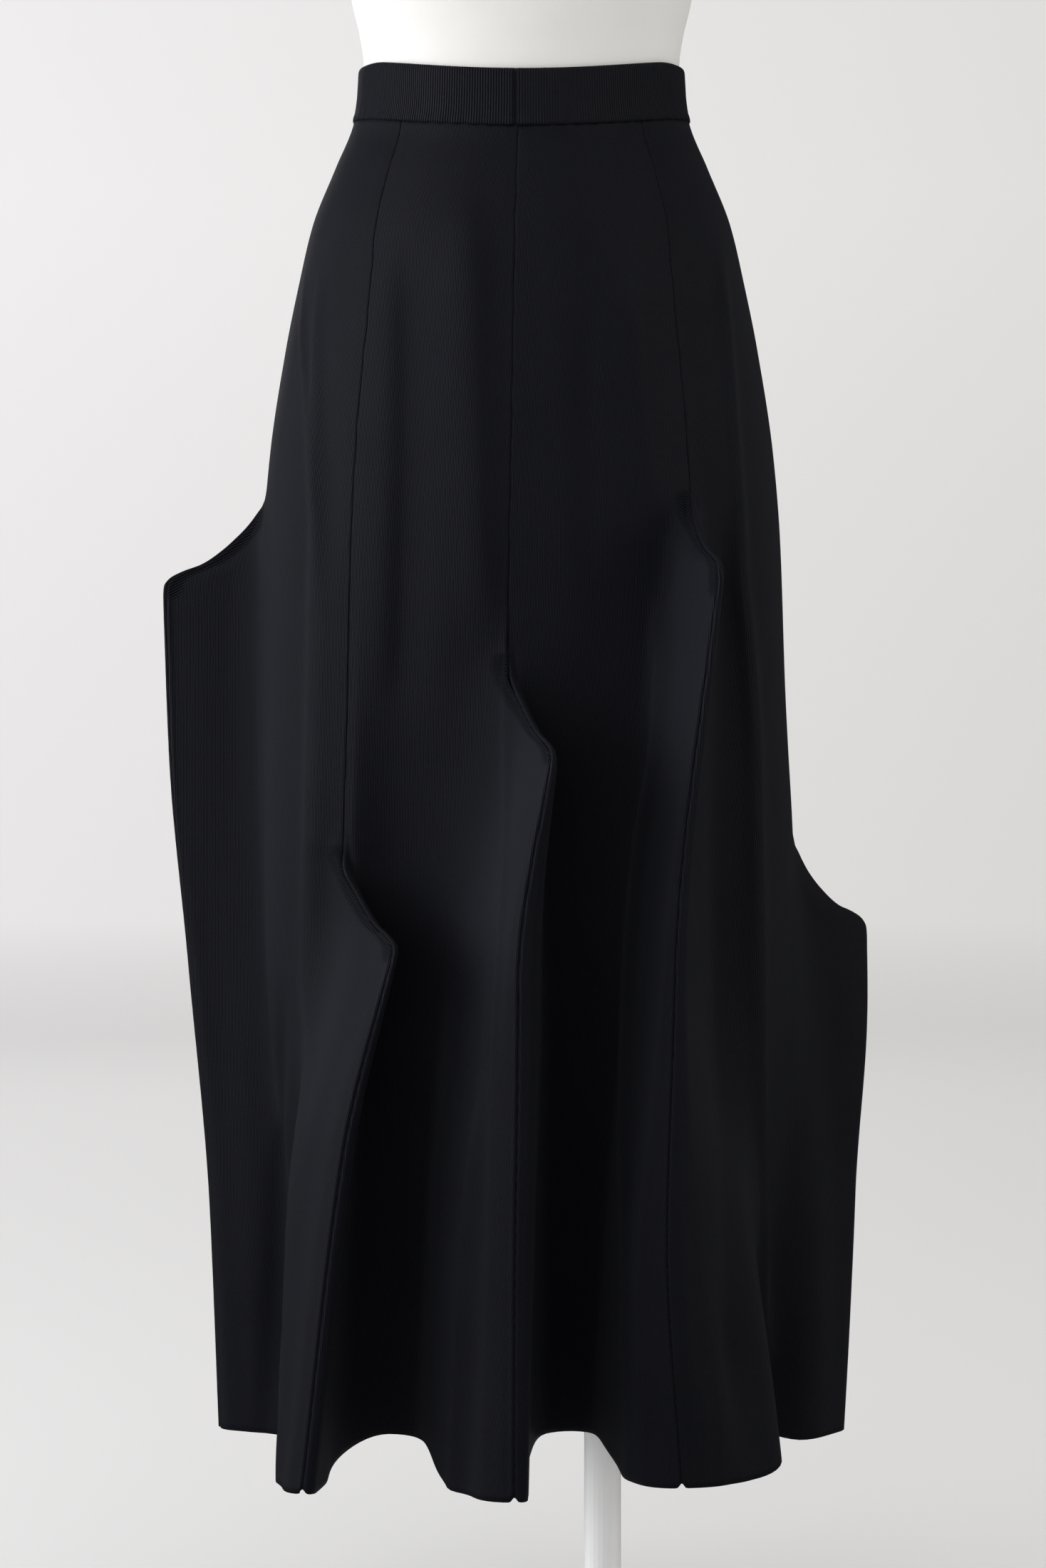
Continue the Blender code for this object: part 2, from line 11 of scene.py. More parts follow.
import bpy
import numpy as np
from mathutils import Euler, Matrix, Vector


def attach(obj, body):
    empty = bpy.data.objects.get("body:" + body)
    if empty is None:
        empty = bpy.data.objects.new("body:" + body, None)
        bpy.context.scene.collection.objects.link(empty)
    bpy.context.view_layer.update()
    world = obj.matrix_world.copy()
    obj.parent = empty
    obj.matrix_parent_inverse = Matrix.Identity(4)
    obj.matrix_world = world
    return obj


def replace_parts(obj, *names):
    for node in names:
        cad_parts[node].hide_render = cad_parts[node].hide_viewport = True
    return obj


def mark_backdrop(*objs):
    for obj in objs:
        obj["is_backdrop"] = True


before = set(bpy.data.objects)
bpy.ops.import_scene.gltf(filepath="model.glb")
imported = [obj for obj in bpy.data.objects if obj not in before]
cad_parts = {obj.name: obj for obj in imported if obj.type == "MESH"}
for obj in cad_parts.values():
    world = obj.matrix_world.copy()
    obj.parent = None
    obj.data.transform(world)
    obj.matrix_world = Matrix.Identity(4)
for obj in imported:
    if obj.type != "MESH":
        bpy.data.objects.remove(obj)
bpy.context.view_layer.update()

# ---- the CAD model's dimensions
WAIST_TOP = 1.080  # height of the waistband's top edge at the sides
HOLLOW_DROP = 0.904  # drop of the hem in the hollow between two fins
FOLD_SHARE, FOLD_END = 0.19, 0.44  # shares of a gore's width between which a fold's dip fades
SAG_START = 0.5  # drop at which the hem's dips set in
FRONT_DIP = 0.013  # how much lower the waist sits at the centre front
FRONT_DIP_ENDS = 0.25  # drop at which that dip has faded out
CLOTH = 0.0015  # double knit of the gores
BAND_HEIGHT = 0.038
BAND_CLOTH = 0.0030  # knitted double and folded over at the top
BAND_PROUD = 0.0008  # it stands this far outside the gores
BAND_SEAM_HEADING = -2.0  # its one join, near the centre front
STEP_REACH = 0.070  # how far a step widens the cut
TURN_START, TURN_DROP = -0.012, 0.046  # a fin turns to its own heading between these
SETTLE_DROP = 0.250  # height below a corner over which the fold's foot turns with it
FLAT_CAP = 0.0022  # half thickness of a fin that lies flat
FLAT_ROOT = 0.008  # half width of the cloth at a seam that has no fin yet
ROUND_FROM, ROUND_SPAN = 0.003, 0.012  # half thickness over which a fin's edge grows round
BACK_FLAT, BACK_LESS = 1.5, 0.6  # how far in an edge's bend ends, in caps; less when round
EDGE_LESS = 0.3  # how much narrower a round edge is, as a share
CAP_FLARE = 0.15  # share of the way to the middle's width there
FIN_MIDDLE = 0.45  # share of the reach at which a fin's middle is
HIGH_STEP, MIDDLE_STEP, LOW_STEP = 0.285, 0.391, 0.515  # drops at which the steps start
FRONT_SEAM_HEADING = -1.2
FACING_STEP = 2.0  # the skirt's facing is read this far to each side of a heading
FORM_BOTTOM = 0.310  # drop of the form's flat underside
HOLLOW_STARTS = 0.300  # drop at which the gores begin to sink between the fins
ARC_PUSH = 0.0014  # the spline runs this far inside its guide points on the bare hip

Body = namedtuple("Body", "drop half_width front back squareness")
BODY = [
    Body(0.000, 0.1086, 0.0870, 0.0858, 2.0),
    Body(0.018, 0.1091, 0.0866, 0.0853, 2.0),
    Body(0.038, 0.1122, 0.0876, 0.0862, 2.0),
    Body(0.069, 0.1247, 0.0950, 0.0948, 2.1),
    Body(0.107, 0.1400, 0.1030, 0.1078, 2.2),
    Body(0.146, 0.1493, 0.1090, 0.1188, 2.25),
    Body(0.190, 0.1583, 0.1143, 0.1263, 2.3),
    Body(0.261, 0.1692, 0.1200, 0.1340, 2.4),
    Body(0.319, 0.1740, 0.1240, 0.1380, 2.5),
    Body(0.415, 0.1775, 0.1285, 0.1420, 2.6),
    Body(0.526, 0.1828, 0.1320, 0.1450, 2.6),
    Body(0.920, 0.1900, 0.1360, 0.1480, 2.6),
]

Spread = namedtuple("Spread", "drop heading")
SPREAD = [Spread(0.038, 44.5), Spread(0.190, 37.0), Spread(0.450, 33.5), Spread(0.920, 33.5)]

# How far a gore's edge has moved out below its step's start, with rounder corners than the CAD.
Step = namedtuple("Step", "down out")
STEP = [
    Step(0.0000, 0.0000),
    Step(0.0070, 0.0012),
    Step(0.0147, 0.0052),
    Step(0.0230, 0.0112),
    Step(0.0330, 0.0210),
    Step(0.0440, 0.0345),
    Step(0.0500, 0.0445),
    Step(0.0540, 0.0560),
    Step(0.0590, 0.0655),
    Step(0.0640, 0.0692),
    Step(0.0700, STEP_REACH),
]

Fin = namedtuple("Fin", "drop root_x root_y heading reach cap_left cap_right root_left root_right")
FINS = {
    "left": [
        Fin(0.348, -0.1735, 0.000, -90, 0.068, 0.0022, 0.0022, 0.010, 0.010),
        Fin(0.470, -0.1720, 0.000, -87, 0.065, 0.004, 0.004, 0.017, 0.017),
        Fin(0.600, -0.1680, 0.000, -83, 0.057, 0.008, 0.008, 0.028, 0.028),
        Fin(0.760, -0.1610, 0.000, -80, 0.050, 0.013, 0.013, 0.038, 0.038),
        Fin(0.920, -0.1560, 0.000, -78, 0.049, 0.018, 0.018, 0.044, 0.044),
    ],
    "front_left": [
        Fin(0.578, -0.1130, -0.110, 30, 0.070, 0.0022, 0.0022, 0.012, 0.008),
        Fin(0.700, -0.1205, -0.118, 9, 0.070, 0.012, 0.004, 0.033, 0.008),
        Fin(0.920, -0.1300, -0.130, -6, 0.070, 0.019, 0.005, 0.030, 0.006),
    ],
    "front": [
        Fin(0.453, -0.0040, -0.130, 22, 0.070, 0.0022, 0.0022, 0.010, 0.008),
        Fin(0.600, -0.0040, -0.137, 4, 0.070, 0.011, 0.012, 0.034, 0.014),
        Fin(0.750, -0.0060, -0.145, 4, 0.070, 0.022, 0.010, 0.047, 0.012),
        Fin(0.920, -0.0080, -0.155, 5, 0.070, 0.031, 0.006, 0.048, 0.008),
    ],
    "front_right": [
        Fin(0.347, 0.1060, -0.108, 17, 0.070, 0.0022, 0.0022, 0.012, 0.008),
        Fin(0.600, 0.1020, -0.128, -2, 0.068, 0.012, 0.004, 0.032, 0.018),
        Fin(0.750, 0.0970, -0.138, -2, 0.066, 0.024, 0.018, 0.036, 0.056),
        Fin(0.920, 0.0960, -0.150, 9, 0.055, 0.031, 0.050, 0.038, 0.082),
    ],
    "right": [
        Fin(0.578, 0.1835, 0.000, 126, 0.065, 0.0022, 0.0022, 0.012, 0.010),
        Fin(0.630, 0.1840, 0.000, 125, 0.0635, 0.004, 0.004, 0.018, 0.015),
        Fin(0.750, 0.1820, 0.000, 121, 0.052, 0.008, 0.007, 0.028, 0.024),
        Fin(0.920, 0.1740, 0.004, 112, 0.047, 0.016, 0.016, 0.040, 0.036),
    ],
    "back_right": [
        Fin(0.453, 0.1080, 0.122, 172, 0.070, 0.0022, 0.0022, 0.012, 0.008),
        Fin(0.640, 0.1090, 0.135, 158, 0.066, 0.007, 0.006, 0.028, 0.018),
        Fin(0.920, 0.1080, 0.150, 150, 0.062, 0.022, 0.018, 0.040, 0.034),
    ],
    "back": [
        Fin(0.347, 0.0010, 0.139, 200, 0.070, 0.0022, 0.0022, 0.012, 0.008),
        Fin(0.600, 0.0010, 0.148, 186, 0.067, 0.010, 0.006, 0.030, 0.018),
        Fin(0.920, 0.0020, 0.160, 180, 0.060, 0.030, 0.022, 0.046, 0.038),
    ],
    "back_left": [
        Fin(0.578, -0.1120, 0.124, 242, 0.070, 0.0022, 0.0022, 0.012, 0.008),
        Fin(0.720, -0.1160, 0.136, 226, 0.066, 0.007, 0.005, 0.028, 0.016),
        Fin(0.920, -0.1160, 0.150, 214, 0.062, 0.020, 0.014, 0.036, 0.030),
    ],
}
# A seam: the drop at which its step starts, how much lower its fin hangs at the hem and, for the
# looks alone, how far it is rolled onto the gore at its left (below 0: its right) and its step's
# height against the CAD's, after the photo.
Seam = namedtuple("Seam", "step dip wrap scale")
SEAMS = {
    "left": Seam(HIGH_STEP, 0.013, -0.0030, 1.0),
    "front_left": Seam(LOW_STEP, 0.020, 0.0030, 1.05),
    "front": Seam(MIDDLE_STEP, 0.020, 0.0026, 1.10),
    "front_right": Seam(HIGH_STEP, 0.015, 0.0028, 0.86),
    "right": Seam(LOW_STEP, 0.019, -0.0026, 1.0),
    "back_right": Seam(MIDDLE_STEP, 0.018, 0.0028, 1.0),
    "back": Seam(HIGH_STEP, 0.015, -0.0028, 1.0),
    "back_left": Seam(LOW_STEP, 0.019, 0.0026, 1.0),
}

Hollow = namedtuple("Hollow", "drop first_x first_y second_x second_y")
HOLLOWS = {
    "gore_front_side_left": [
        Hollow(0.600, -0.172, -0.058, -0.148, -0.100),
        Hollow(0.920, -0.113, -0.020, -0.088, -0.062),
    ],
    "gore_front_left": [
        Hollow(0.600, -0.086, -0.107, -0.056, -0.116),
        Hollow(0.920, -0.100, -0.098, -0.066, -0.104),
    ],
    "gore_front_right": [
        Hollow(0.600, 0.028, -0.114, 0.062, -0.118),
        Hollow(0.920, 0.014, -0.086, 0.052, -0.088),
    ],
    "gore_front_side_right": [
        Hollow(0.600, 0.157, -0.112, 0.182, -0.050),
        Hollow(0.760, 0.151, -0.092, 0.163, -0.040),
        Hollow(0.920, 0.126, -0.066, 0.143, -0.024),
    ],
    "gore_back_side_right": [
        Hollow(0.600, 0.166, 0.055, 0.145, 0.090),
        Hollow(0.920, 0.135, 0.031, 0.113, 0.073),
    ],
    "gore_back_right": [
        Hollow(0.600, 0.078, 0.118, 0.038, 0.122),
        Hollow(0.920, 0.079, 0.091, 0.033, 0.105),
    ],
    "gore_back_left": [
        Hollow(0.600, -0.036, 0.122, -0.078, 0.118),
        Hollow(0.920, -0.031, 0.105, -0.077, 0.091),
    ],
    "gore_back_side_left": [
        Hollow(0.600, -0.148, 0.092, -0.170, 0.052),
        Hollow(0.920, -0.111, 0.071, -0.133, 0.029),
    ],
}

RING = list(SEAMS)
Gore = namedtuple("Gore", "name left right")
GORES = [Gore(*names) for names in zip(HOLLOWS, RING, RING[1:] + RING[:1])]

Form = namedtuple("Form", "rise half_width front back squareness")
FORM = [
    Form(-FORM_BOTTOM, 0.1420, 0.0950, 0.1060, 2.3),
    Form(-0.260, 0.1510, 0.1050, 0.1180, 2.3),
    Form(-0.190, 0.1536, 0.1093, 0.1213, 2.3),
    Form(-0.146, 0.1448, 0.1045, 0.1143, 2.25),
    Form(-0.107, 0.1355, 0.0985, 0.1033, 2.2),
    Form(-0.069, 0.1203, 0.0907, 0.0905, 2.1),
    Form(-0.038, 0.1094, 0.0848, 0.0834, 2.0),
    Form(-0.018, 0.1064, 0.0839, 0.0826, 2.0),
    Form(0.000, 0.1059, 0.0843, 0.0831, 2.0),
    Form(0.017, 0.1080, 0.0852, 0.0836, 2.0),
    Form(0.040, 0.1134, 0.0880, 0.0850, 2.1),
    Form(0.090, 0.1225, 0.0960, 0.0880, 2.2),
    Form(0.150, 0.1330, 0.1050, 0.0930, 2.3),
    Form(0.200, 0.1430, 0.1070, 0.0970, 2.4),
    Form(0.250, 0.1540, 0.0990, 0.0990, 2.5),
    Form(0.295, 0.1650, 0.0830, 0.0960, 2.5),
    Form(0.330, 0.1700, 0.0690, 0.0880, 2.4),
    Form(0.348, 0.1480, 0.0620, 0.0820, 2.3),
    Form(0.366, 0.1060, 0.0580, 0.0760, 2.1),
    Form(0.382, 0.0700, 0.0550, 0.0700, 2.0),
    Form(0.398, 0.0580, 0.0530, 0.0640, 2.0),
    Form(0.450, 0.0530, 0.0520, 0.0560, 2.0),
]
BUST_RISE, BUST_X, BUST_OUT, BUST_SIZE = 0.172, 0.072, 0.018, 0.052

# ---- what only the looks need
HEM_NOTCH = 0.003  # how far a seam draws the hem up, and over what width
NOTCH_WIDTH = 0.002
NOTCH_START = 0.6  # drop at which that begins
UNDER_BAND = 0.002  # how far the gores reach up under the waistband
STEP_ROW, PLAIN_ROW = 0.0016, 0.005  # spacing of a gore's rows in the steps and elsewhere
STEP_ZONE = (-0.010, 0.080)  # where the close rows start and end, from a step's start
GUIDE_POINTS = 12  # of a gore's section
LAST_PLACE = GUIDE_POINTS - 3.0  # a section's spline runs from place 0 to here
MIDDLE_PLACE = 0.5 * LAST_PLACE
SPLINE_STEPS = 360  # and is sampled this often
EDGE_COLUMNS = (0.0, 0.4, 0.9, 1.5, 2.2, 3.0, 4.0, 5.2, 6.6, 8.3, 10.5, 13.0)  # mm from a seam
EDGE_WIDTH = 0.060  # in sections narrower than this those columns move closer
PLAIN_COLUMNS = 50  # columns between those of the two seams

WRAP_LEAD, WRAP_DROP = 0.004, 0.020  # below a step's start, where a seam's roll begins
SEAM_WIGGLE = 0.00022
WIGGLE_FADE, WIGGLE_SPAN = 0.1, 0.7  # drop from which the wiggle fades, and over what height
EASE_FROM, EASE_TO = 1.6, 3.4  # places along a spline between which the easing sets in
EASE_TOP, EASE_BOTTOM, EASE_FADE = 0.16, 0.76, 0.10  # drops between which it works
EASINGS = ((0.010, 0.4), (0.035, 1.0))  # height it spreads over, and its share of that span
EASE_LEAD, EASE_RISE = 0.004, 0.024  # how soon and how fast it sets in at a step's start

# Sine waves: the slant turns them with a second distance, the phase shifts them by seam or gore.
Wave = namedtuple("Wave", "size length slant phase")
WIGGLE_WAVES = (Wave(1, 0.0065, 0, 1), Wave(0.7, 0.0041, 0, 2))
PUCKER_WAVES = (Wave(1, 0.0014, 0, 1), Wave(0.8, 0.0023, 0, 2.3), Wave(0.6, 0.0047, 0, 3.1))
SWELL_WAVES = (Wave(1, 0.021, 5, 1), Wave(0.6, 0.013, -7, 2.1), Wave(0.3, 0.008, 6, 3.7))
WIGGLE_PHASE, PUCKER_PHASE, SIDE_PHASE, SWELL_PHASE = 2.1, 1.7, 0.9, 1.3


# ---- small mathematics
TINY = 1e-12  # keeps a division from failing


def smoothstep(value):
    value = np.clip(value, 0.0, 1.0)
    return value * value * (3.0 - 2.0 * value)


def bump(distance, width):
    return np.exp(-((distance / width) ** 2))


def add_waves(waves, along, other, phase):
    """Sine waves along one distance, slanted by another, added up."""
    return sum(w.size * np.sin(along / w.length + w.slant * other + w.phase * phase) for w in waves)


def slopes(xs, ys):
    """Slopes at the knots of a curve that never swings past its own points."""
    steps = [(b - a) / (d - c) for a, b, c, d in zip(ys, ys[1:], xs, xs[1:])]
    inner = [0.0 if p * q <= 0 else 2.0 * p * q / (p + q) for p, q in zip(steps, steps[1:])]
    return [steps[0], *inner, steps[-1]]


def read_table(rows, at):
    """Every column of a table at one value of its first column, on a smooth curve."""
    xs = [row[0] for row in rows]
    at = min(max(at, xs[0]), xs[-1])
    i = max(0, min(len(xs) - 2, sum(x <= at for x in xs) - 1))
    span = xs[i + 1] - xs[i]
    t = (at - xs[i]) / span
    found = []
    for column in range(1, len(rows[0])):
        ys = [row[column] for row in rows]
        m = slopes(xs, ys)
        found.append(
            (2 * t**3 - 3 * t**2 + 1) * ys[i]
            + (t**3 - 2 * t**2 + t) * span * m[i]
            + (3 * t**2 - 2 * t**3) * ys[i + 1]
            + (t**3 - t**2) * span * m[i + 1]
        )
    return found


def outward(heading):
    angle = math.radians(heading)
    return np.array((math.sin(angle), -math.cos(angle)))


def rightward(heading):
    angle = math.radians(heading)
    return np.array((math.cos(angle), math.sin(angle)))


def spline_weights(count, places):
    """Weights of a clamped cubic B-spline with that many guide points, at each place."""
    knots = [0] * 3 + list(range(count - 2)) + [count - 3] * 3
    rows = []
    for place in places:
        span = min(int(place), count - 4) + 3
        basis = np.zeros(count + 3)
        basis[span] = 1.0
        for degree in (1, 2, 3):
            grown = np.zeros(count + 3)
            for i in range(count + 3 - degree):
                left = knots[i + degree] - knots[i]
                right = knots[i + degree + 1] - knots[i + 1]
                if left:
                    grown[i] += (place - knots[i]) / left * basis[i]
                if right:
                    grown[i] += (knots[i + degree + 1] - place) / right * basis[i + 1]
            basis = grown
        rows.append(basis[:count])
    return np.array(rows)


# ---- shape of the skirt
def oval(half_width, front, back, squareness, heading):
    """A point of a rounded oblong section, at a heading."""
    angle = math.radians(heading)
    across, along = math.sin(angle), -math.cos(angle)
    depth = front if along < 0 else back
    power = 2.0 / squareness
    x = math.copysign(abs(across) ** power, across) * half_width
    y = math.copysign(abs(along) ** power, along) * depth
    return np.array((x, y))


def body_point(drop, heading):
    return oval(*read_table(BODY, drop), heading)


def seam_heading(name, drop):
    """The heading on the body at which a seam runs."""
    spread = read_table(SPREAD, drop)[0]
    return {
        "left": -90.0,
        "front_left": -spread,
        "front": FRONT_SEAM_HEADING,
        "front_right": spread,
        "right": 90.0,
        "back_right": 180.0 - spread,
        "back": 180.0,
        "back_left": 180.0 + spread,
    }[name]


def base_heading(name, drop):
    """The way the skirt faces at a seam."""
    here = seam_heading(name, drop)
    along = body_point(drop, here + FACING_STEP) - body_point(drop, here - FACING_STEP)
    return math.degrees(math.atan2(along[1], along[0]))


def turn_between(first, last):
    """The shorter turn from one heading to another."""
    return (last - first + 180.0) % 360.0 - 180.0


def fin_at(name, drop):
    """The root, heading, reach and widths of a seam's fin at a drop."""
    start = SEAMS[name].step
    top = FINS[name][0]
    if drop <= top.drop:
        root = body_point(drop, seam_heading(name, drop))
        below = body_point(top.drop, seam_heading(name, top.drop))
        share = smoothstep((drop - start) / (top.drop - start))
        root += share * (np.array((top.root_x, top.root_y)) - below)
        facing = base_heading(name, drop)
        turn = turn_between(facing, top.heading)
        heading = facing + smoothstep((drop - start - TURN_START) / TURN_DROP) * turn
        feet = (top.root_left, top.root_right)
        widths = [FLAT_CAP, FLAT_CAP, *(FLAT_ROOT + share * (foot - FLAT_ROOT) for foot in feet)]
        reach = top.reach
    else:
        x, y, heading, reach, *widths = read_table(FINS[name], drop)
        root = np.array((x, y))
    reach *= read_table(STEP, (drop - start) / SEAMS[name].scale)[0] / STEP_REACH
    return root, heading, reach, widths


def fin_side(name, drop, side):
    """Five guide points from the seam at a fin's edge to its root, for one side of it."""
    root, heading, reach, (cap_left, cap_right, root_left, root_right) = fin_at(name, drop)
    cap, foot = (cap_left, root_left) if side < 0 else (cap_right, root_right)
    out, across = outward(heading), side * rightward(heading)
    wide = smoothstep((cap - ROUND_FROM) / ROUND_SPAN)
    back = min((BACK_FLAT - BACK_LESS * wide) * cap, FIN_MIDDLE * reach)
    middle = 0.5 * (cap + foot)
    facing = base_heading(name, drop)
    settled = smoothstep((drop - FINS[name][0].drop) / SETTLE_DROP)
    facing += settled * turn_between(facing, heading)
    edge = root + reach * out
    return [
        edge,
        edge + (1.0 - EDGE_LESS * wide) * cap * across,
        root + (reach - back) * out + (cap + CAP_FLARE * (middle - cap)) * across,
        root + FIN_MIDDLE * reach * out + middle * across,
        root + side * foot * rightward(facing),
    ]


def hollow_points(gore, drop):
    """The two guide points in the middle of a gore: on the body, and sunk in further down."""
    first, last = seam_heading(gore.left, drop), seam_heading(gore.right, drop)
    last += 360.0 if last < first else 0.0
    headings = [first + share * (last - first) for share in (1 / 3, 2 / 3)]
    on_body = [body_point(drop, heading) for heading in headings]
    on_body = np.concatenate([p * (1.0 + ARC_PUSH / np.linalg.norm(p)) for p in on_body])
    sunk = [(0.0, 0.0, 0.0, 0.0, 0.0), (HOLLOW_STARTS, 0.0, 0.0, 0.0, 0.0)]
    for row in HOLLOWS[gore.name]:
        there = [body_point(row.drop, heading) for heading in headings]
        sunk.append((row.drop, *(np.array(row[1:]) - np.concatenate(there))))
    return (on_body + read_table(sunk, drop)).reshape(2, 2)


def gore_guide(gore, drop):
    """Twelve guide points of a gore's section, from its left seam to its right seam."""
    left = fin_side(gore.left, drop, 1)
    right = fin_side(gore.right, drop, -1)
    return np.array([*left, *hollow_points(gore, drop), *reversed(right)])


def front_dip(y, front, away):
    """How much lower the front sits, at a height away from the waist."""
    forward = np.clip(-y / front, 0.0, 1.0)
    return FRONT_DIP * forward**2 * (1.0 - smoothstep(away / FRONT_DIP_ENDS))


def waist_dip(y, drop):
    return front_dip(y, read_table(BODY, drop)[1], drop)


def hem_dip(gore, drop, share):
    """How much lower a gore hangs for its fins, at shares from 0 at its left seam to 1."""
    dips = np.where(share < 0.5, SEAMS[gore.left].dip, SEAMS[gore.right].dip)
    beside = np.minimum(share, 1.0 - share)
    in_fold = 1.0 - smoothstep((beside - FOLD_SHARE) / (FOLD_END - FOLD_SHARE))
    return smoothstep((drop - SAG_START) / (HOLLOW_DROP - SAG_START)) * dips * in_fold


def row_drops():
    """Drops of a gore's rows, closer in the three step zones."""
    drops = [BAND_HEIGHT - UNDER_BAND]
    while drops[-1] < HOLLOW_DROP - 0.5 * PLAIN_ROW:
        near = any(
            start + STEP_ZONE[0] < drops[-1] < start + STEP_ZONE[1]
            for start in (HIGH_STEP, MIDDLE_STEP, LOW_STEP)
        )
        drops.append(drops[-1] + (STEP_ROW if near else PLAIN_ROW))
    drops[-1] = HOLLOW_DROP
    return np.array(drops)


DROPS = row_drops()


def arc_lengths(line):
    return np.concatenate(([0.0], np.linalg.norm(np.diff(line, axis=0), axis=1).cumsum()))


def seam_shift(name, drop):
    """How far a seam has moved onto the gore at its left, along the cloth."""
    phase = WIGGLE_PHASE * RING.index(name)
    roll = SEAMS[name].wrap * smoothstep((drop - SEAMS[name].step - WRAP_LEAD) / WRAP_DROP)
    wiggle = SEAM_WIGGLE * add_waves(WIGGLE_WAVES, drop, 0.0, phase)
    return roll + wiggle * (1.0 - smoothstep((drop - WIGGLE_FADE) / WIGGLE_SPAN))


def cut_at(line, distance):
    """A polyline in two parts, cut at a distance along it."""
    along = arc_lengths(line)
    point = np.array([np.interp(distance, along, line[:, k]) for k in range(2)])
    before, after = line[along < distance], line[along > distance]
    return np.vstack((before, point)), np.vstack((point, after))


def eased(flat, places):
    """The sections with what the steps do spread over more height, the further from a seam."""
    spacing = np.gradient(DROPS)
    from_seam = np.minimum(places, LAST_PLACE - places)
    inward = (from_seam - EASE_FROM) / (EASE_TO - EASE_FROM)
    fade = smoothstep((DROPS - EASE_TOP) / EASE_FADE)
    fade = fade * smoothstep((EASE_BOTTOM - DROPS) / EASE_FADE)
    starts = np.array(
        [[SEAMS[g.left if p < MIDDLE_PLACE else g.right].step for p in places] for g in GORES]
    )
    below = smoothstep((DROPS[:, None, None] - starts + EASE_LEAD) / EASE_RISE)
    far = smoothstep((from_seam - EASE_TO) / (MIDDLE_PLACE - EASE_TO))
    allowed = fade[:, None, None] * (below + (1.0 - below) * far)
    for size, share in EASINGS:
        near = np.exp(-0.5 * ((DROPS[:, None] - DROPS[None, :]) / size) ** 2) * spacing
        near /= near.sum(axis=1, keepdims=True)
        smooth = np.einsum("rs,sgpk->rgpk", near, flat)
        weight = allowed * smoothstep(inward / share)
        flat = flat + weight[:, :, :, None] * (smooth - flat)
    return flat


def sections():
    """Every gore's section at every row, with its seams rolled, and where its middle is."""
    places = np.linspace(0.0, LAST_PLACE, SPLINE_STEPS + 1)
    weights = spline_weights(GUIDE_POINTS, places)
    flat = np.array([[weights @ gore_guide(gore, drop) for gore in GORES] for drop in DROPS])
    flat = eased(flat, places)
    found = {gore.name: [] for gore in GORES}
    for drop, row in zip(DROPS, flat):
        lines = list(row)
        middles = row[:, SPLINE_STEPS // 2]
        for i, gore in enumerate(GORES):
            j = (i + 1) % len(GORES)
            shift = seam_shift(gore.right, drop)
            if shift > 0:
                lines[i], tail = cut_at(lines[i], arc_lengths(lines[i])[-1] - shift)
                lines[j] = np.vstack((tail, lines[j][1:]))
            else:
                head, lines[j] = cut_at(lines[j], -shift)
                lines[i] = np.vstack((lines[i], head[1:]))
        for gore, line, middle in zip(GORES, lines, middles):
            nearest = np.linalg.norm(line - middle, axis=1).argmin()
            found[gore.name].append((line, arc_lengths(line)[nearest]))
    return found


def columns_of(width):
    """Distances of the columns from the left seam, for a section of that width."""
    edge = np.array(EDGE_COLUMNS) * 1e-3 * min(1.0, width / EDGE_WIDTH)
    middle = np.linspace(edge[-1], width - edge[-1], PLAIN_COLUMNS + 2)[1:-1]
    return np.concatenate((edge, middle, width - edge[::-1]))


def unit_normals(points):
    """Outward unit normals of a grid of points whose rows go down and columns to the right."""
    down = np.gradient(points, axis=0)
    right = np.gradient(points, axis=1)
    normals = np.cross(down, right)
    return normals / np.maximum(np.linalg.norm(normals, axis=2), TINY)[:, :, None]


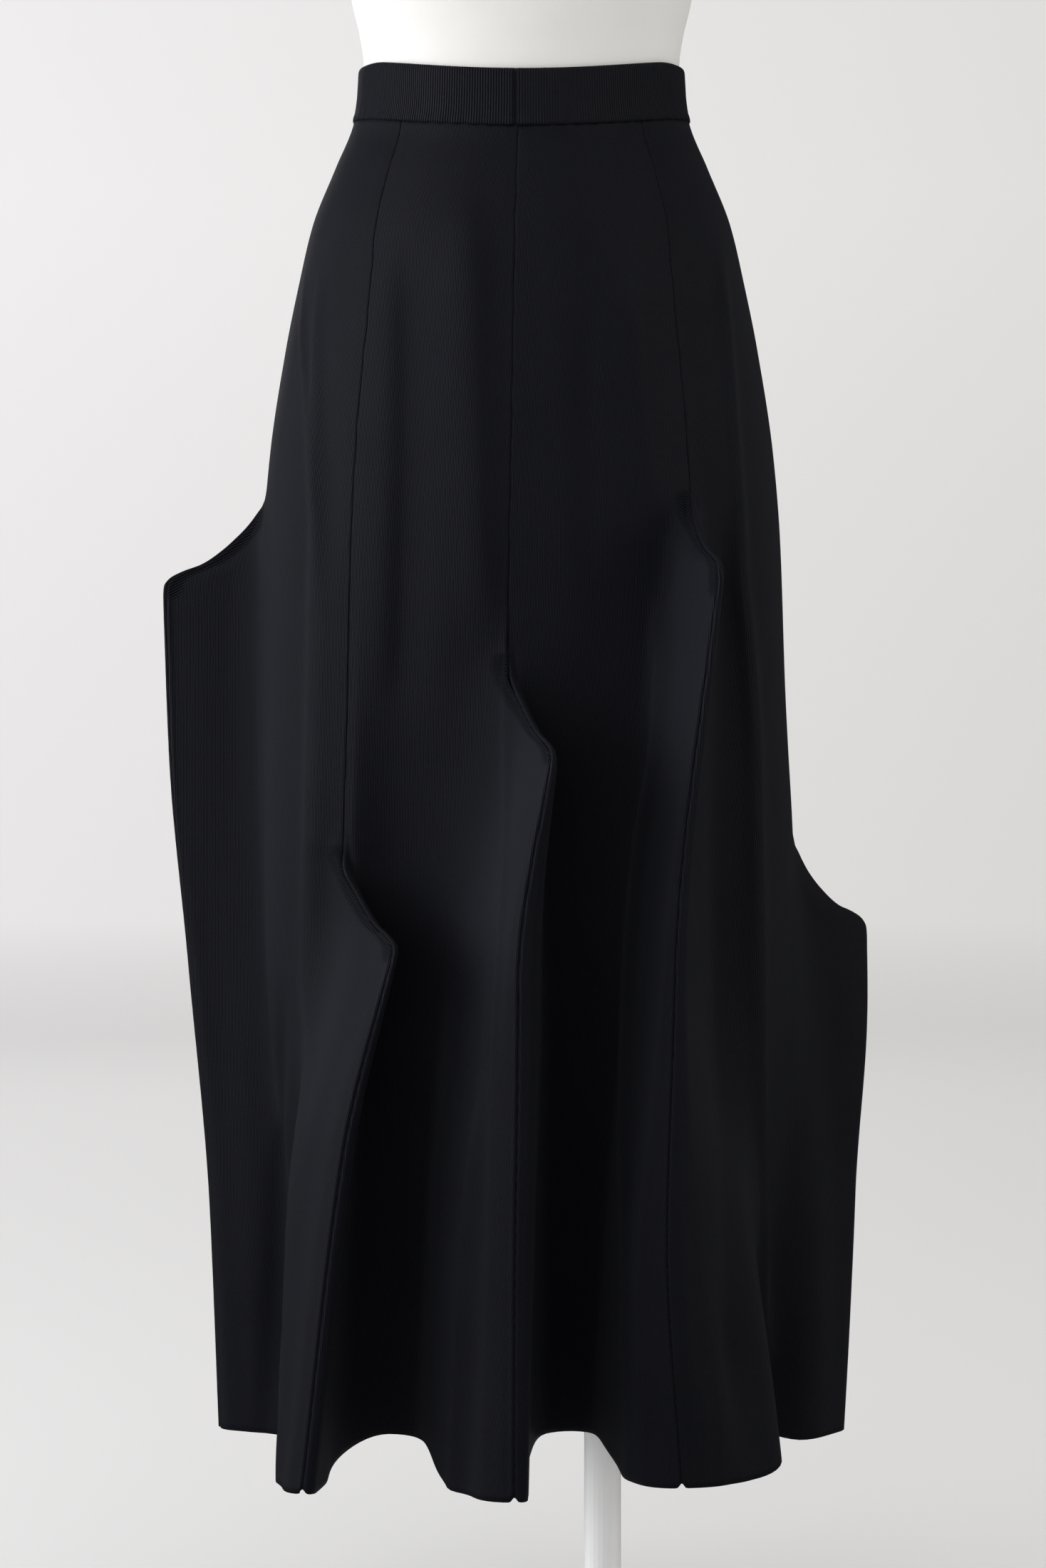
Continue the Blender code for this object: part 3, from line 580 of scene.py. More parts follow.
# ---- creases and puckers
# A crease runs down a gore through points of (drop, x), given at the front after the
# photo.  A height below 0 sinks it in.  It has a width to its left and one to its right, and it
# fades in and out over FADE of drop, except at the hem.
Crease = namedtuple("Crease", "height wide_left wide_right path")
FADE = 0.07
DRIFT = 0.004  # the most that a crease moves across the cloth from one row to the next
CREASES = {
    "gore_front_side_left": [
        Crease(0.0024, 0.0045, 0.004, [(0.130, -0.1440), (0.176, -0.1450), (0.226, -0.1405),
            (0.271, -0.1375), (0.330, -0.1352)]),
        Crease(0.0032, 0.0045, 0.007, [(0.130, -0.1325), (0.176, -0.1344), (0.246, -0.1348),
            (0.316, -0.1342), (0.380, -0.1345)]),
        Crease(0.0036, 0.006, 0.015, [(0.300, -0.1355), (0.345, -0.1343), (0.445, -0.1363),
            (0.531, -0.1385), (0.568, -0.1399), (0.650, -0.1403), (0.715, -0.1440), (0.760, -0.1460),
            (0.840, -0.1515), (0.904, -0.1560)]),
        Crease(-0.0030, 0.008, 0.007, [(0.600, -0.1560), (0.720, -0.1600), (0.840, -0.1670),
            (0.904, -0.1710)]),
    ],
    "gore_front_left": [
        Crease(-0.0032, 0.010, 0.016, [(0.110, -0.0735), (0.156, -0.0741), (0.246, -0.0738),
            (0.340, -0.0755), (0.450, -0.0785)]),
        Crease(0.0032, 0.018, 0.012, [(0.070, -0.0380), (0.116, -0.0347), (0.201, -0.0313),
            (0.294, -0.0284), (0.400, -0.0230)]),
        Crease(0.0020, 0.0035, 0.006, [(0.352, -0.0104), (0.404, -0.0098), (0.460, -0.0100),
            (0.519, -0.0108), (0.637, -0.0177), (0.735, -0.0198), (0.800, -0.0210)]),
        Crease(0.0034, 0.008, 0.014, [(0.640, -0.0200), (0.700, -0.0307), (0.765, -0.0370),
            (0.850, -0.0418), (0.904, -0.0440)]),
    ],
    "gore_front_right": [
        Crease(-0.0024, 0.008, 0.012, [(0.130, 0.0405), (0.181, 0.0407), (0.236, 0.0406),
            (0.294, 0.0424), (0.350, 0.0440)]),
        Crease(0.0024, 0.014, 0.010, [(0.120, 0.0700), (0.181, 0.0741), (0.246, 0.0810),
            (0.294, 0.0860), (0.330, 0.0880)]),
        Crease(0.0046, 0.006, 0.013, [(0.340, 0.0894), (0.392, 0.0893), (0.453, 0.0859),
            (0.528, 0.0745), (0.615, 0.0688), (0.720, 0.0660), (0.880, 0.0642)]),
    ],
    "gore_front_side_right": [
        Crease(0.0046, 0.007, 0.008, [(0.110, 0.1300), (0.171, 0.1330), (0.231, 0.1367),
            (0.290, 0.1406), (0.345, 0.1446), (0.395, 0.1496), (0.470, 0.1534), (0.568, 0.1540),
            (0.655, 0.1548), (0.720, 0.1560), (0.820, 0.1600), (0.904, 0.1640)]),
        Crease(-0.0060, 0.014, 0.020, [(0.290, 0.1310), (0.340, 0.1330), (0.420, 0.1340),
            (0.520, 0.1320), (0.660, 0.1310), (0.800, 0.1360), (0.904, 0.1390)]),
    ],
    "gore_back_side_right": [
        Crease(0.0026, 0.005, 0.008, [(0.120, 0.1290), (0.200, 0.1335), (0.300, 0.1370),
            (0.420, 0.1400), (0.560, 0.1430)]),
        Crease(-0.0028, 0.010, 0.014, [(0.160, 0.1160), (0.260, 0.1190), (0.380, 0.1220),
            (0.480, 0.1260)]),
    ],
    "gore_back_right": [
        Crease(0.0030, 0.010, 0.016, [(0.090, 0.0420), (0.200, 0.0370), (0.320, 0.0330),
            (0.430, 0.0300)]),
        Crease(0.0024, 0.006, 0.009, [(0.400, 0.0820), (0.520, 0.0740), (0.640, 0.0680),
            (0.760, 0.0640)]),
    ],
    "gore_back_left": [
        Crease(-0.0028, 0.009, 0.013, [(0.110, -0.0560), (0.220, -0.0600), (0.330, -0.0640),
            (0.450, -0.0690)]),
        Crease(0.0030, 0.007, 0.012, [(0.330, -0.0240), (0.450, -0.0280), (0.580, -0.0350),
            (0.720, -0.0400), (0.904, -0.0450)]),
    ],
    "gore_back_side_left": [
        Crease(0.0026, 0.005, 0.008, [(0.120, -0.1270), (0.210, -0.1330), (0.330, -0.1360),
            (0.480, -0.1380), (0.600, -0.1420)]),
        Crease(0.0020, 0.006, 0.007, [(0.150, -0.1400), (0.240, -0.1440), (0.340, -0.1460)]),
    ],
}


def crease_heights(gore, columns, across):
    """How far the creases of a gore lift its points, which are rows of (x, y, z)."""
    total = np.zeros(across.shape)
    forward = -1.0 if "front" in gore.name else 1.0
    for crease in CREASES[gore.name]:
        first, last = crease.path[0][0], crease.path[-1][0]
        previous = None
        for r, drop in enumerate(DROPS):
            fade = smoothstep((drop - first) / FADE)
            if last < HOLLOW_DROP:
                fade *= smoothstep((last - drop) / FADE)
            if fade == 0.0:
                continue
            x = columns[r, :, 0] - read_table(crease.path, drop)[0]
            crossed = np.nonzero(x[:-1] * x[1:] <= 0.0)[0]
            if len(crossed) == 0:
                continue
            k = crossed[np.argmax(forward * columns[r, crossed, 1])]
            share = x[k] / (x[k] - x[k + 1] + TINY)
            centre = across[r, k] + share * (across[r, k + 1] - across[r, k])
            if previous is not None:
                centre = previous + np.clip(centre - previous, -DRIFT, DRIFT)
            previous = centre
            away = across[r] - centre
            wide = np.where(away < 0, crease.wide_left, crease.wide_right)
            total[r] += crease.height * fade * bump(away, wide)
    return total


# Beside a seam: a groove at it, a roll that grows below its step, and puckers that die there.
GROOVE_DEPTH, GROOVE_WIDTH = 0.0005, 0.0005
ROLL_PLAIN, ROLL_BELOW, ROLL_PLACE, ROLL_WIDTH = 0.00005, 0.0006, 0.0020, 0.0014
PUCKER_HEIGHT, PUCKER_PLACE, PUCKER_WIDTH, PUCKER_LESS = 0.00006, 0.002, 0.003, 0.7
BELOW_RISE = 0.02
# Out on the cloth: slow waves, free of the seam at this distance, that grow over this height.
SWELL_FREE, SWELL_PLAIN, SWELL_MORE = 0.045, 0.0002, 0.0013
SWELL_START, SWELL_SPAN = 0.25, 0.6


def seam_heights(name, distance, on_left):
    """How the cloth stands beside a seam: a groove, a soft roll and small puckers."""
    phase = PUCKER_PHASE * RING.index(name) + (SIDE_PHASE if on_left else 0.0)
    below = smoothstep((DROPS - SEAMS[name].step) / BELOW_RISE)[:, None]
    groove = -GROOVE_DEPTH * bump(distance, GROOVE_WIDTH)
    ripple = PUCKER_HEIGHT * add_waves(PUCKER_WAVES, DROPS, 0.0, phase)[:, None]
    puckers = ripple * bump(distance - PUCKER_PLACE, PUCKER_WIDTH) * (1.0 - PUCKER_LESS * below)
    roll = (ROLL_PLAIN + ROLL_BELOW * below) * bump(distance - ROLL_PLACE, ROLL_WIDTH)
    return groove + roll + puckers


def swell(gore, across, beside):
    """Slow waves of the hanging cloth, which grow towards the hem and die at the seams."""
    phase = SWELL_PHASE * [g.name for g in GORES].index(gore.name)
    drop = DROPS[:, None]
    free = smoothstep(beside / SWELL_FREE)
    grow = SWELL_PLAIN + SWELL_MORE * smoothstep((drop - SWELL_START) / SWELL_SPAN)
    return grow * free * add_waves(SWELL_WAVES, across, drop, phase)


# ---- meshes
def make_piece(name, points, faces, look, uv=None, values=None):
    """A shaded mesh object from points and faces, with UVs and named numbers at its points."""
    mesh = bpy.data.meshes.new(name)
    points = np.asarray(points, dtype=float)
    mesh.from_pydata(points.tolist(), [], faces)
    mesh.shade_smooth()
    if uv is not None:
        layer = mesh.uv_layers.new(name="cloth")
        corners = np.empty(len(mesh.loops), dtype=np.int32)
        mesh.loops.foreach_get("vertex_index", corners)
        layer.data.foreach_set("uv", np.asarray(uv, dtype=np.float32)[corners].ravel())
    for key, numbers in (values or {}).items():
        attribute = mesh.attributes.new(key, "FLOAT", "POINT")
        attribute.data.foreach_set("value", np.asarray(numbers, dtype=np.float32).ravel())
    mesh.materials.append(look)
    made = bpy.data.objects.new(name, mesh)
    bpy.context.scene.collection.objects.link(made)
    return made


def grid_quads(first, rows, columns, closed=False):
    """Quads of a grid, facing along down x right; if closed, its last column meets its first."""
    quads = []
    for r in range(rows - 1):
        above, below = first + r * columns, first + (r + 1) * columns
        for c in range(columns if closed else columns - 1):
            d = (c + 1) % columns
            quads.append((above + c, below + c, below + d, above + d))
    return quads


def both_sides(*columns):
    """Numbers of a grid's points, one row for each point of a wall's two sides."""
    return np.tile(np.stack(columns, axis=2).reshape(-1, len(columns)), (2, 1))


def walled(outer, inner):
    """Points and faces of a wall between two grids, closed at its edges."""
    rows, columns = outer.shape[:2]
    count = rows * columns
    points = np.vstack((outer.reshape(-1, 3), inner.reshape(-1, 3)))
    faces = grid_quads(0, rows, columns)
    faces += [tuple(reversed(face)) for face in grid_quads(count, rows, columns)]
    rim = list(range(columns))
    rim += [r * columns + columns - 1 for r in range(1, rows)]
    rim += [(rows - 1) * columns + c for c in range(columns - 2, -1, -1)]
    rim += [r * columns for r in range(rows - 2, 0, -1)]
    faces += [(a, b, b + count, a + count) for a, b in zip(rim, rim[1:] + rim[:1])]
    return points, faces


# The stretched stitches beside a seam, on the gore that it is rolled onto, down its step.
STRAIN_PLACE, STRAIN_WIDTH, STRAIN_RISE, STRAIN_ENDS = 0.004, 0.005, 0.01, 0.075


def strain_values(gore, distances, from_right):
    """How stretched the knit is at each point of a gore, from 0 to 1."""
    strain = np.zeros(distances.shape)
    for name, away, rolled_here in (
        (gore.left, distances, SEAMS[gore.left].wrap < 0),
        (gore.right, from_right, SEAMS[gore.right].wrap > 0),
    ):
        if rolled_here:
            down = DROPS[:, None] - SEAMS[name].step
            beside = bump(away - STRAIN_PLACE, STRAIN_WIDTH)
            ends = smoothstep((STRAIN_ENDS - down) / STRAIN_RISE)
            strain += beside * smoothstep(down / STRAIN_RISE) * ends
    return strain


def make_gore(gore, lines, look):
    """A gore's object, with its greatest width, its length and its area."""
    outer, distances, widths, middles = [], [], [], []
    for drop, (line, middle) in zip(DROPS, lines):
        along = arc_lengths(line)
        place = columns_of(along[-1])
        x, y = (np.interp(place, along, line[:, k]) for k in range(2))
        share = place / along[-1]
        z = WAIST_TOP - drop - waist_dip(y, drop) - hem_dip(gore, drop, share)
        beside = np.minimum(place, along[-1] - place)
        rise = HEM_NOTCH * smoothstep((drop - NOTCH_START) / (HOLLOW_DROP - NOTCH_START)) ** 2
        z += rise * bump(beside, NOTCH_WIDTH)
        outer.append(np.stack((x, y, z), axis=1))
        distances.append(place)
        widths.append(along[-1])
        middles.append(middle)
    outer, distances = np.array(outer), np.array(distances)
    widths, middles = np.array(widths), np.array(middles)[:, None]
    from_right = widths[:, None] - distances
    across = distances - middles
    heights = crease_heights(gore, outer, across)
    heights += swell(gore, across, np.minimum(distances, from_right))
    heights += seam_heights(gore.left, distances, False)
    heights += seam_heights(gore.right, from_right, True)
    outer = outer + heights[:, :, None] * unit_normals(outer)
    inner = outer - CLOTH * unit_normals(outer)
    points, faces = walled(outer, inner)
    strain = strain_values(gore, distances, from_right)
    down = np.repeat(DROPS[:, None], distances.shape[1], axis=1)
    made = make_piece(
        gore.name.replace("gore", "knit"), points, faces, look,
        uv=both_sides(across, down),
        values={"strain": both_sides(strain)},
    )
    area = float((0.5 * (widths[1:] + widths[:-1]) * np.diff(DROPS)).sum())
    return made, float(widths.max()), float(DROPS[-1] - DROPS[0]), area


# ---- materials
def new_material(name, colour, roughness, **sockets):
    made = bpy.data.materials.new(name)
    made.use_nodes = True
    shader = made.node_tree.nodes["Principled BSDF"]
    shader.inputs["Base Color"].default_value = (*colour, 1.0)
    shader.inputs["Roughness"].default_value = roughness
    for key, value in sockets.items():
        shader.inputs[key.replace("_", " ")].default_value = value
    return made, shader


class Nodes:
    """Short calls for building a material's node tree."""

    def __init__(self, made):
        self.tree = made.node_tree

    def add(self, kind, **settings):
        node = self.tree.nodes.new(kind)
        for key, value in settings.items():
            setattr(node, key, value)
        return node

    def put(self, socket, value):
        if isinstance(value, bpy.types.NodeSocket):
            self.tree.links.new(value, socket)
        else:
            socket.default_value = value

    def place(self):
        return self.add("ShaderNodeTexCoord").outputs["Object"]

    def math(self, operation, *values):
        node = self.add("ShaderNodeMath", operation=operation)
        for socket, value in zip(node.inputs, values):
            self.put(socket, value)
        return node.outputs[0]

    def noise(self, vector, scale, detail=2.0):
        node = self.add("ShaderNodeTexNoise")
        self.put(node.inputs["Vector"], vector)
        node.inputs["Scale"].default_value = scale
        node.inputs["Detail"].default_value = detail
        return node.outputs["Fac"]

    def mix_colour(self, share, first, second):
        node = self.add("ShaderNodeMix", data_type="RGBA")
        self.put(node.inputs["Factor"], share)
        self.put(node.inputs["A"], first)
        self.put(node.inputs["B"], second)
        return node.outputs["Result"]

    def bump(self, height, distance, strength=1.0):
        node = self.add("ShaderNodeBump")
        node.inputs["Strength"].default_value = strength
        node.inputs["Distance"].default_value = distance
        self.put(node.inputs["Height"], height)
        return node.outputs["Normal"]


TURN = 2.0 * math.pi
# the knit's dark and light tones; slow random changes and painted shade in the wales' grooves move it
# between them
KNIT_DARK = (0.0036, 0.0037, 0.0050, 1.0)
KNIT_LIGHT = (0.0068, 0.0070, 0.0094, 1.0)
COOL_TINT = (0.78, 0.80, 1.0, 1.0)
KNIT_SHINE = {
    "Specular_IOR_Level": 0.06,
    "Specular_Tint": COOL_TINT,
    "Sheen_Weight": 0.022,
    "Sheen_Roughness": 0.45,
    "Sheen_Tint": COOL_TINT,
}
KNIT_PITCH, KNIT_RIB = 0.00105, 0.00010  # of the gores: from wale to wale, and the bump's height
WAIST_PITCH, WAIST_RIB = 0.0016, 0.00028  # of the waistband
COURSE_SHARE, COURSE_HEIGHT = 0.8, 0.1  # stitch rows, against the wales' pitch and height
WANDER_SCALE, WANDER = 260.0, 0.00030  # how the wales wander sideways
FUZZ_SCALE, FUZZ_HEIGHT = 900.0, 1.5
STROKE_LEAN, STROKE_PITCH, STROKE_HEIGHT = 0.5, 0.0019, 9.0  # stretched stitches at the steps
BROAD_SCALE, BROAD_SHARE = 22.0, 0.4  # slow changes of tone
# the wales' share of the tone is painted shade: the knit is darker in the grooves between the wales
# and lighter on their tops
WALE_SHADE_SHARE, MEAN_SHARE = 0.22, 0.3
COVER_TONES = (0.66, 0.652, 0.635, 1.0), (0.71, 0.70, 0.68, 1.0)
PAINT_TONES = (0.80, 0.80, 0.80, 1.0), (0.86, 0.86, 0.86, 1.0)


def knit_material(name, pitch, rib_height):
    """Black rib knit: fine vertical wales with rows of stitches across them, and painted shade in the
    grooves between the wales.
    """
    made, shader = new_material(name, KNIT_DARK[:3], roughness=0.45, **KNIT_SHINE)
    n = Nodes(made)
    split = n.add("ShaderNodeSeparateXYZ")
    n.put(split.inputs[0], n.add("ShaderNodeUVMap", uv_map="cloth").outputs["UV"])
    u, v = split.outputs[0], split.outputs[1]
    place = n.place()
    wander = n.math("MULTIPLY", n.noise(place, WANDER_SCALE), WANDER)
    wale = n.math("SINE", n.math("MULTIPLY", n.math("ADD", u, wander), TURN / pitch))
    course = n.math("SINE", n.math("MULTIPLY", v, TURN / (COURSE_SHARE * pitch)))
    height = n.math("ADD", wale, n.math("MULTIPLY", course, COURSE_HEIGHT))
    fuzz = n.math("MULTIPLY", n.noise(place, FUZZ_SCALE), FUZZ_HEIGHT)
    height = n.math("ADD", height, fuzz)
    lean = n.math("MULTIPLY", n.math("ABSOLUTE", u), STROKE_LEAN)
    slant = n.math("MULTIPLY", n.math("SUBTRACT", v, lean), TURN / STROKE_PITCH)
    strain = n.add("ShaderNodeAttribute", attribute_name="strain").outputs["Fac"]
    stroke = n.math("MULTIPLY", n.math("SINE", slant), strain)
    height = n.math("ADD", height, n.math("MULTIPLY", stroke, STROKE_HEIGHT))
    n.put(shader.inputs["Normal"], n.bump(height, rib_height))
    broad = n.math("MULTIPLY", n.noise(place, BROAD_SCALE, detail=3.0), BROAD_SHARE)
    # slow random changes of tone, plus painted shade that darkens the wales' grooves
    share = n.math("ADD", broad, n.math("MULTIPLY_ADD", wale, WALE_SHADE_SHARE, MEAN_SHARE))
    n.put(shader.inputs["Base Color"], n.mix_colour(share, KNIT_DARK, KNIT_LIGHT))
    return made


def form_material():
    """The form's white cotton cover."""
    made, shader = new_material("white_cover", (0.72, 0.71, 0.69), roughness=0.85, Sheen_Weight=0.1)
    n = Nodes(made)
    place = n.place()
    weave = n.add("ShaderNodeTexVoronoi")
    n.put(weave.inputs["Vector"], place)
    weave.inputs["Scale"].default_value = 1400.0
    n.put(shader.inputs["Normal"], n.bump(weave.outputs["Distance"], distance=0.0001, strength=0.5))
    tone = n.noise(place, scale=30.0, detail=3.0)
    n.put(shader.inputs["Base Color"], n.mix_colour(tone, *COVER_TONES))
    return made


def metal_material():
    """Satin white paint of the pole and the base."""
    made, shader = new_material("white_paint", (0.80, 0.80, 0.80), roughness=0.32)
    n = Nodes(made)
    place = n.place()
    n.put(shader.inputs["Normal"], n.bump(n.noise(place, scale=320.0), distance=0.0002, strength=0.35))
    tone = n.noise(place, scale=14.0, detail=3.0)
    n.put(shader.inputs["Base Color"], n.mix_colour(tone, *PAINT_TONES))
    return made


# ---- waistband
BAND_LENGTH = 0.62  # the form's waist
BAND_SIDES = 480
BAND_ROWS, ROWS_IN_FOLD, FOLD_STEPS = 26, 3, 8
FOLD_HEIGHT = 0.0030
BAND_LAYER = 0.00135  # each of the two layers
BAND_JOIN_GAP = 0.00003
BAND_DROOP, DROOP_HEIGHT = 0.003, 0.02  # how much lower its top is at the sides, fading below
DROOP_FROM, DROOP_SPAN = 0.80, 0.22  # shares of the half width over which it sets in
BAND_PUFF = 0.0004  # how far the band stands out at half its height
EDGE_ROLL, JOIN_ROLL, ROLL_AWAY, ROLL_SIZE = 0.0005, 0.0003, 0.0025, 0.0018
JOIN_GROOVE, JOIN_WIDTH = 0.0008, 0.0009
EDGE_WAVE, EDGE_WAVES, EDGE_POWER, EDGE_LIFT = 0.00025, 61.0, 6, 0.4


def band_profile():
    """Points (depth, drop) up the band's outside, over the fold at its top and down inside."""
    straight = np.linspace(BAND_HEIGHT, 0.0, BAND_ROWS)[:-ROWS_IN_FOLD]
    fold = [math.pi * k / FOLD_STEPS for k in range(FOLD_STEPS + 1)]
    return [
        *((0.0, drop) for drop in straight),
        *((0.5 * BAND_CLOTH * (1.0 - math.cos(a)), FOLD_HEIGHT * (1.0 - math.sin(a))) for a in fold),
        *((BAND_CLOTH, drop) for drop in straight[::-1]),
    ]


def band_point(depth, drop, heading, from_join):
    """A point of the band's surface, puffed out and rolled at its lower edge and its join."""
    x, y = body_point(drop, heading)
    facing = body_point(drop, heading + 1.0) - body_point(drop, heading - 1.0)
    facing /= np.linalg.norm(facing)
    puff = BAND_PUFF * math.sin(math.pi * min(drop / BAND_HEIGHT, 1.0))
    puff += EDGE_ROLL * bump(drop - BAND_HEIGHT + ROLL_AWAY, ROLL_SIZE)
    puff -= JOIN_GROOVE * bump(from_join, JOIN_WIDTH)
    puff += JOIN_ROLL * bump(from_join - ROLL_AWAY, ROLL_SIZE)
    wave = EDGE_WAVE * math.sin(math.radians(heading) * EDGE_WAVES)
    wave *= (drop / BAND_HEIGHT) ** EDGE_POWER
    stand = BAND_PROUD + (puff + wave if depth < 0.5 * BAND_CLOTH else 0.0) - depth
    z = WAIST_TOP - drop - float(waist_dip(y, drop)) + EDGE_LIFT * wave
    sideways = smoothstep((abs(x) / BODY[0].half_width - DROOP_FROM) / DROOP_SPAN)
    z -= BAND_DROOP * sideways**2 * (1.0 - smoothstep(drop / DROOP_HEIGHT))
    return x + stand * facing[1], y - stand * facing[0], z


def make_waistband(look):
    """A knitted strip folded over at the top, with its join near the centre front."""
    profile = band_profile()
    half_gap = math.degrees(BAND_JOIN_GAP / BODY[0].front)
    columns = []
    for side in range(BAND_SIDES + 1):
        turn = half_gap + (360.0 - 2.0 * half_gap) * side / BAND_SIDES
        from_join = min(turn, 360.0 - turn) * math.radians(1.0) * BODY[0].front
        heading = BAND_SEAM_HEADING + turn
        columns.append([band_point(*point, heading, from_join) for point in profile])
    outer = np.transpose(np.array(columns), (1, 0, 2))
    inner = outer + BAND_LAYER * unit_normals(outer)  # the rows run up, so these point inwards
    points, faces = walled(outer, inner)
    faces = [tuple(reversed(face)) for face in faces]
    along = np.linspace(0.0, BAND_LENGTH, BAND_SIDES + 1)[None, :].repeat(len(profile), axis=0)
    down = arc_lengths(np.array(profile))[:, None].repeat(BAND_SIDES + 1, axis=1)
    return make_piece("knit_waistband", points, faces, look, uv=both_sides(along, down))


# ---- dress form
FORM_SIDES = 144
FORM_ROW = 0.008
SHARP_ANGLE = 50


def form_rows():
    """Heights over the waist, from the underside to the neck."""
    rises = []
    for below, above in zip(FORM, FORM[1:]):
        parts = math.ceil((above.rise - below.rise) / FORM_ROW)
        rises += [below.rise + (above.rise - below.rise) * i / parts for i in range(parts)]
    return [*rises, FORM[-1].rise]


def make_form(look):
    rows = []
    for rise in form_rows()[::-1]:
        shape = read_table(FORM, rise)
        row = []
        for side in range(FORM_SIDES):
            heading = 360.0 * side / FORM_SIDES
            x, y = oval(*shape, heading)
            if y < 0:
                away = ((abs(x) - BUST_X) ** 2 + (rise - BUST_RISE) ** 2) / BUST_SIZE**2
                y -= BUST_OUT * math.exp(-away)
            row.append((x, y, WAIST_TOP + rise - front_dip(y, shape[1], abs(rise))))
        rows.append(row)
    grid = np.array(rows)
    count = len(grid)
    faces = grid_quads(0, count, FORM_SIDES, closed=True)
    points = list(map(tuple, grid.reshape(-1, 3)))
    for ring, turned in ((0, False), (count - 1, True)):
        centre = len(points)
        points.append(tuple(grid[ring].mean(axis=0)))
        for side in range(FORM_SIDES):
            a, b = (ring * FORM_SIDES + s % FORM_SIDES for s in (side, side + 1))
            faces.append((b, a, centre) if turned else (a, b, centre))
    made = make_piece("form_cover", points, faces, look)
    made.data.set_sharp_from_angle(angle=math.radians(SHARP_ANGLE))
    return made


# ---- studio
FLOOR_RADIUS, CURVE_RADIUS, WALL_TOP = 7.5, 2.0, 5.0
FLOOR_RINGS, CURVE_STEPS, STAGE_SIDES = 16, 12, 96
FLOOR_UNDER = 0.0005  # the floor lies this far below the base
PAPER_LIT_LEFT, PAPER_SHADED_RIGHT = (0.52, 0.511, 0.514, 1.0), (0.44, 0.437, 0.428, 1.0)
PAPER_CHANGE = 0.33  # how fast the painted light at the left turns into the painted shade at the right, per metre
PAPER_ROUGHNESS, PAPER_CLOUDS, CLOUD_SHARE = 0.9, 0.8, 0.02
GLOW, GLOW_MORE, GLOW_MOST = 0.70, 0.060, 1.15  # painted glow of the paper, which is no lamp: mid floor, more per metre, most


def make_stage():
    """A pale floor that sweeps up into a round wall behind and around the object, painted lighter at
    its left and glowing with painted light.
    """
    profile = [(radius, 0.0) for radius in np.linspace(0.0, FLOOR_RADIUS, FLOOR_RINGS)]
    for angle in np.linspace(0.0, 0.5 * math.pi, CURVE_STEPS + 1)[1:]:
        out, up = math.sin(angle), 1.0 - math.cos(angle)
        profile.append((FLOOR_RADIUS + CURVE_RADIUS * out, CURVE_RADIUS * up))
    profile.append((FLOOR_RADIUS + CURVE_RADIUS, WALL_TOP))
    turns = [TURN * side / STAGE_SIDES for side in range(STAGE_SIDES)]
    points = [
        (radius * math.cos(turn), radius * math.sin(turn), z - FLOOR_UNDER)
        for radius, z in profile
        for turn in turns
    ]
    made, shader = new_material("studio_paper", PAPER_LIT_LEFT[:3], PAPER_ROUGHNESS)
    n = Nodes(made)
    place = n.place()
    split = n.add("ShaderNodeSeparateXYZ")
    n.put(split.inputs[0], place)
    # painted light: the paper's colour is lighter to the left and darker to the right, as if lit from
    # the left
    across = n.math("MULTIPLY_ADD", split.outputs[0], PAPER_CHANGE, 0.5)
    tone = n.math("ADD", across, n.math("MULTIPLY", n.noise(place, PAPER_CLOUDS), CLOUD_SHARE))
    clamped = n.add("ShaderNodeClamp")
    n.put(clamped.inputs["Value"], tone)
    colours = n.mix_colour(clamped.outputs[0], PAPER_LIT_LEFT, PAPER_SHADED_RIGHT)
    n.put(shader.inputs["Base Color"], colours)
    # painted glow: the paper gives off light in its own colour, least at the floor's middle and more
    # further out
    n.put(shader.inputs["Emission Color"], colours)
    length = n.add("ShaderNodeVectorMath", operation="LENGTH")
    n.put(length.inputs[0], place)
    glow = n.add("ShaderNodeClamp")
    n.put(glow.inputs["Value"], n.math("MULTIPLY_ADD", length.outputs["Value"], GLOW_MORE, GLOW))
    glow.inputs["Max"].default_value = GLOW_MOST
    n.put(shader.inputs["Emission Strength"], glow.outputs[0])
    faces = grid_quads(0, len(profile), STAGE_SIDES, closed=True)
    floor = make_piece("studio_floor", points, faces, made)
    floor.visible_glossy = False
    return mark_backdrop(floor)


COOL, PLAIN, WARM = (0.97, 0.985, 1.0), (1.0, 1.0, 1.0), (1.0, 0.985, 0.96)
LIGHT_AIM = (0.0, 0.0, 0.65)
Light = namedtuple("Light", "name place size power colour")
LIGHTS = [
    Light("key_left", (-2.8, -1.0, 1.4), (1.8, 2.4), 52.0, COOL),
    Light("side_left", (-3.0, 0.4, 1.4), (1.8, 2.4), 44.0, COOL),
    Light("front_left", (-1.0, -2.8, 1.4), (1.8, 2.4), 15.0, PLAIN),
    Light("side_right", (3.0, 0.0, 1.4), (1.8, 2.4), 25.0, WARM),
    Light("back", (-0.4, 3.6, 2.2), (2.4, 2.4), 14.0, PLAIN),
    Light("overhead", (0.0, -1.2, 3.6), (3.0, 2.0), 44.0, PLAIN),
]
SKY_COLOUR, SKY_STRENGTH = (0.98, 0.99, 1.0, 1.0), 0.04


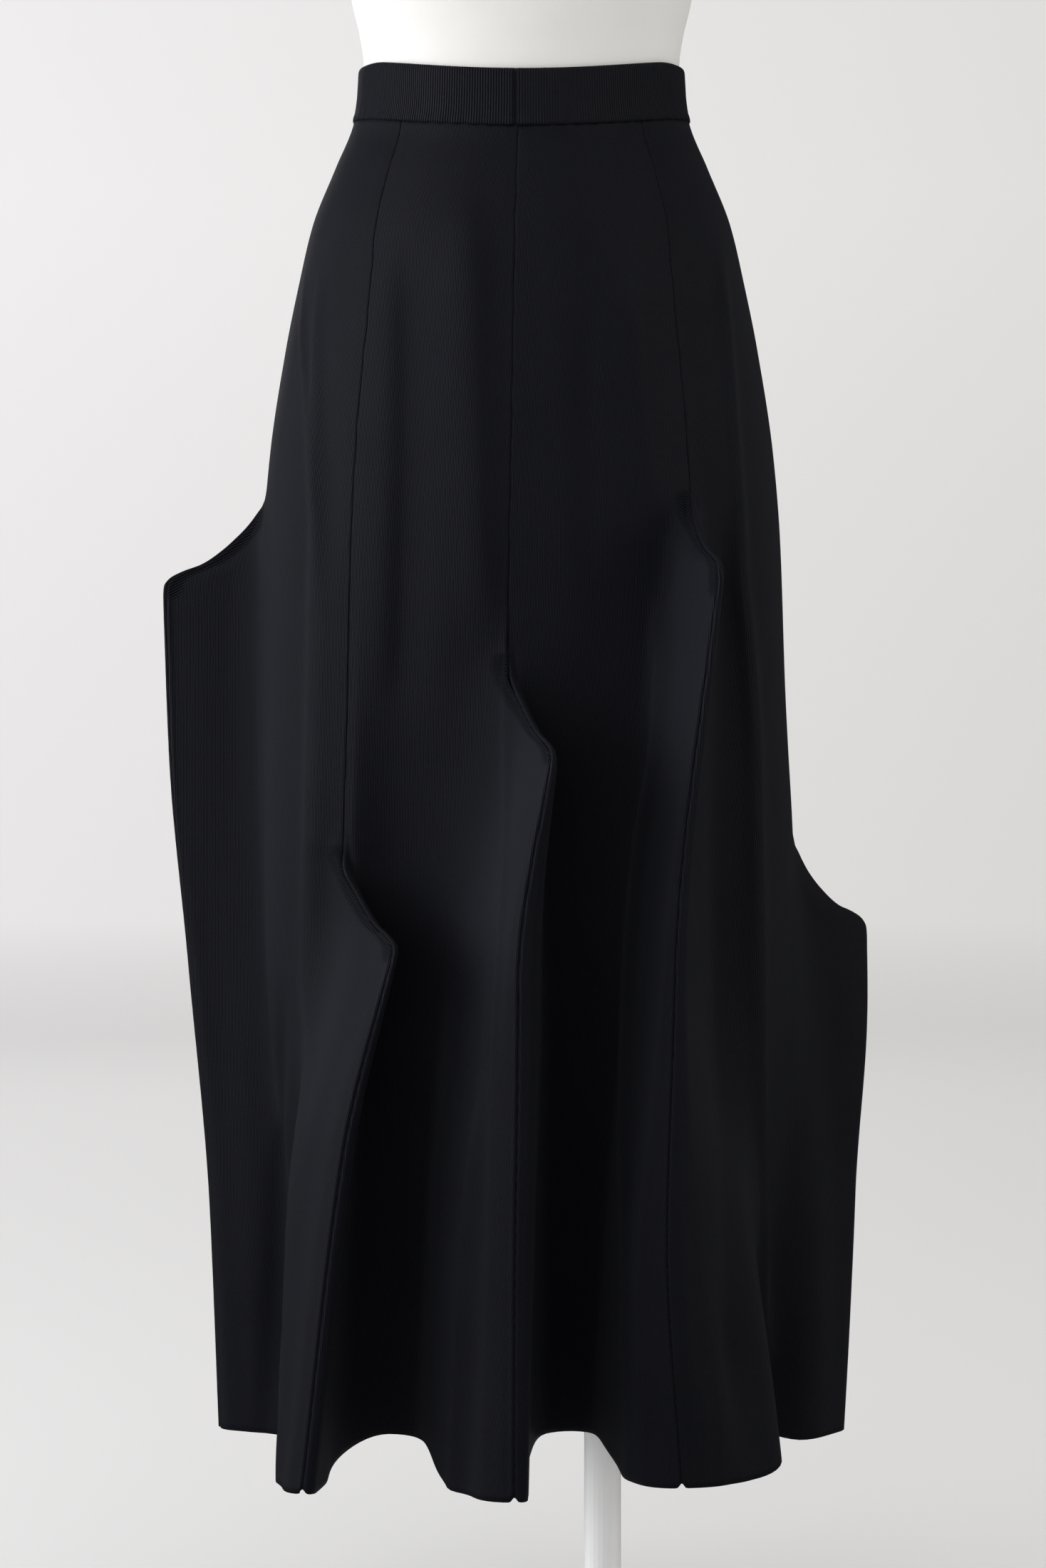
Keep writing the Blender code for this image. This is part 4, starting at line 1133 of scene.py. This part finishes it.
def add_light(light):
    lamp = bpy.data.lights.new(light.name, "AREA")
    lamp.shape = "RECTANGLE"
    lamp.size, lamp.size_y = light.size
    lamp.energy = light.power
    lamp.color = light.colour
    made = bpy.data.objects.new(light.name, lamp)
    made.location = light.place
    way = Vector(LIGHT_AIM) - Vector(light.place)
    made.rotation_euler = way.to_track_quat("-Z", "Y").to_euler()
    bpy.context.scene.collection.objects.link(made)


def make_studio():
    make_stage()
    for light in LIGHTS:
        add_light(light)
    world = bpy.data.worlds.new("studio")
    world.use_nodes = True
    sky = world.node_tree.nodes["Background"]
    sky.inputs["Color"].default_value = SKY_COLOUR
    sky.inputs["Strength"].default_value = SKY_STRENGTH
    bpy.context.scene.world = world
    bpy.context.scene.view_settings.view_transform = "Standard"


CAMERA_PLACE = (0.000962, -2.8, 0.694)
FOCAL_PIXELS, EYE_LEVEL_PIXELS = 5821.2, 200.0  # of the photo; eye level is above its middle
CAMERA_TILT = 90.0 - math.degrees(math.atan(EYE_LEVEL_PIXELS / FOCAL_PIXELS))
LENS, SENSOR = 95.25, 36.0  # mm
CLIP_START, CLIP_END = 0.05, 60.0


def make_camera():
    camera = bpy.data.cameras.new("camera")
    camera.lens = LENS
    camera.sensor_width = SENSOR
    camera.clip_start, camera.clip_end = CLIP_START, CLIP_END
    made = bpy.data.objects.new("camera", camera)
    made.location = CAMERA_PLACE
    made.rotation_euler = Euler((math.radians(CAMERA_TILT), 0.0, 0.0))
    bpy.context.scene.collection.objects.link(made)
    bpy.context.scene.camera = made


def main():
    make_camera()
    make_studio()
    knit = knit_material("black_rib_knit", KNIT_PITCH, KNIT_RIB)
    rib = knit_material("black_waist_rib", WAIST_PITCH, WAIST_RIB)
    band = make_waistband(rib)
    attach(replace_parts(band, "waistband"), "root")
    cut = sections()
    for gore in GORES:
        made, width, length, area = make_gore(gore, cut[gore.name], knit)
        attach(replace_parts(made, gore.name), "root")
    cover = make_form(form_material())
    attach(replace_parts(cover, "form_torso"), "root")
    paint = metal_material()
    for name in ("pole", "base_plate"):
        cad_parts[name].material_slots[0].material = paint


main()
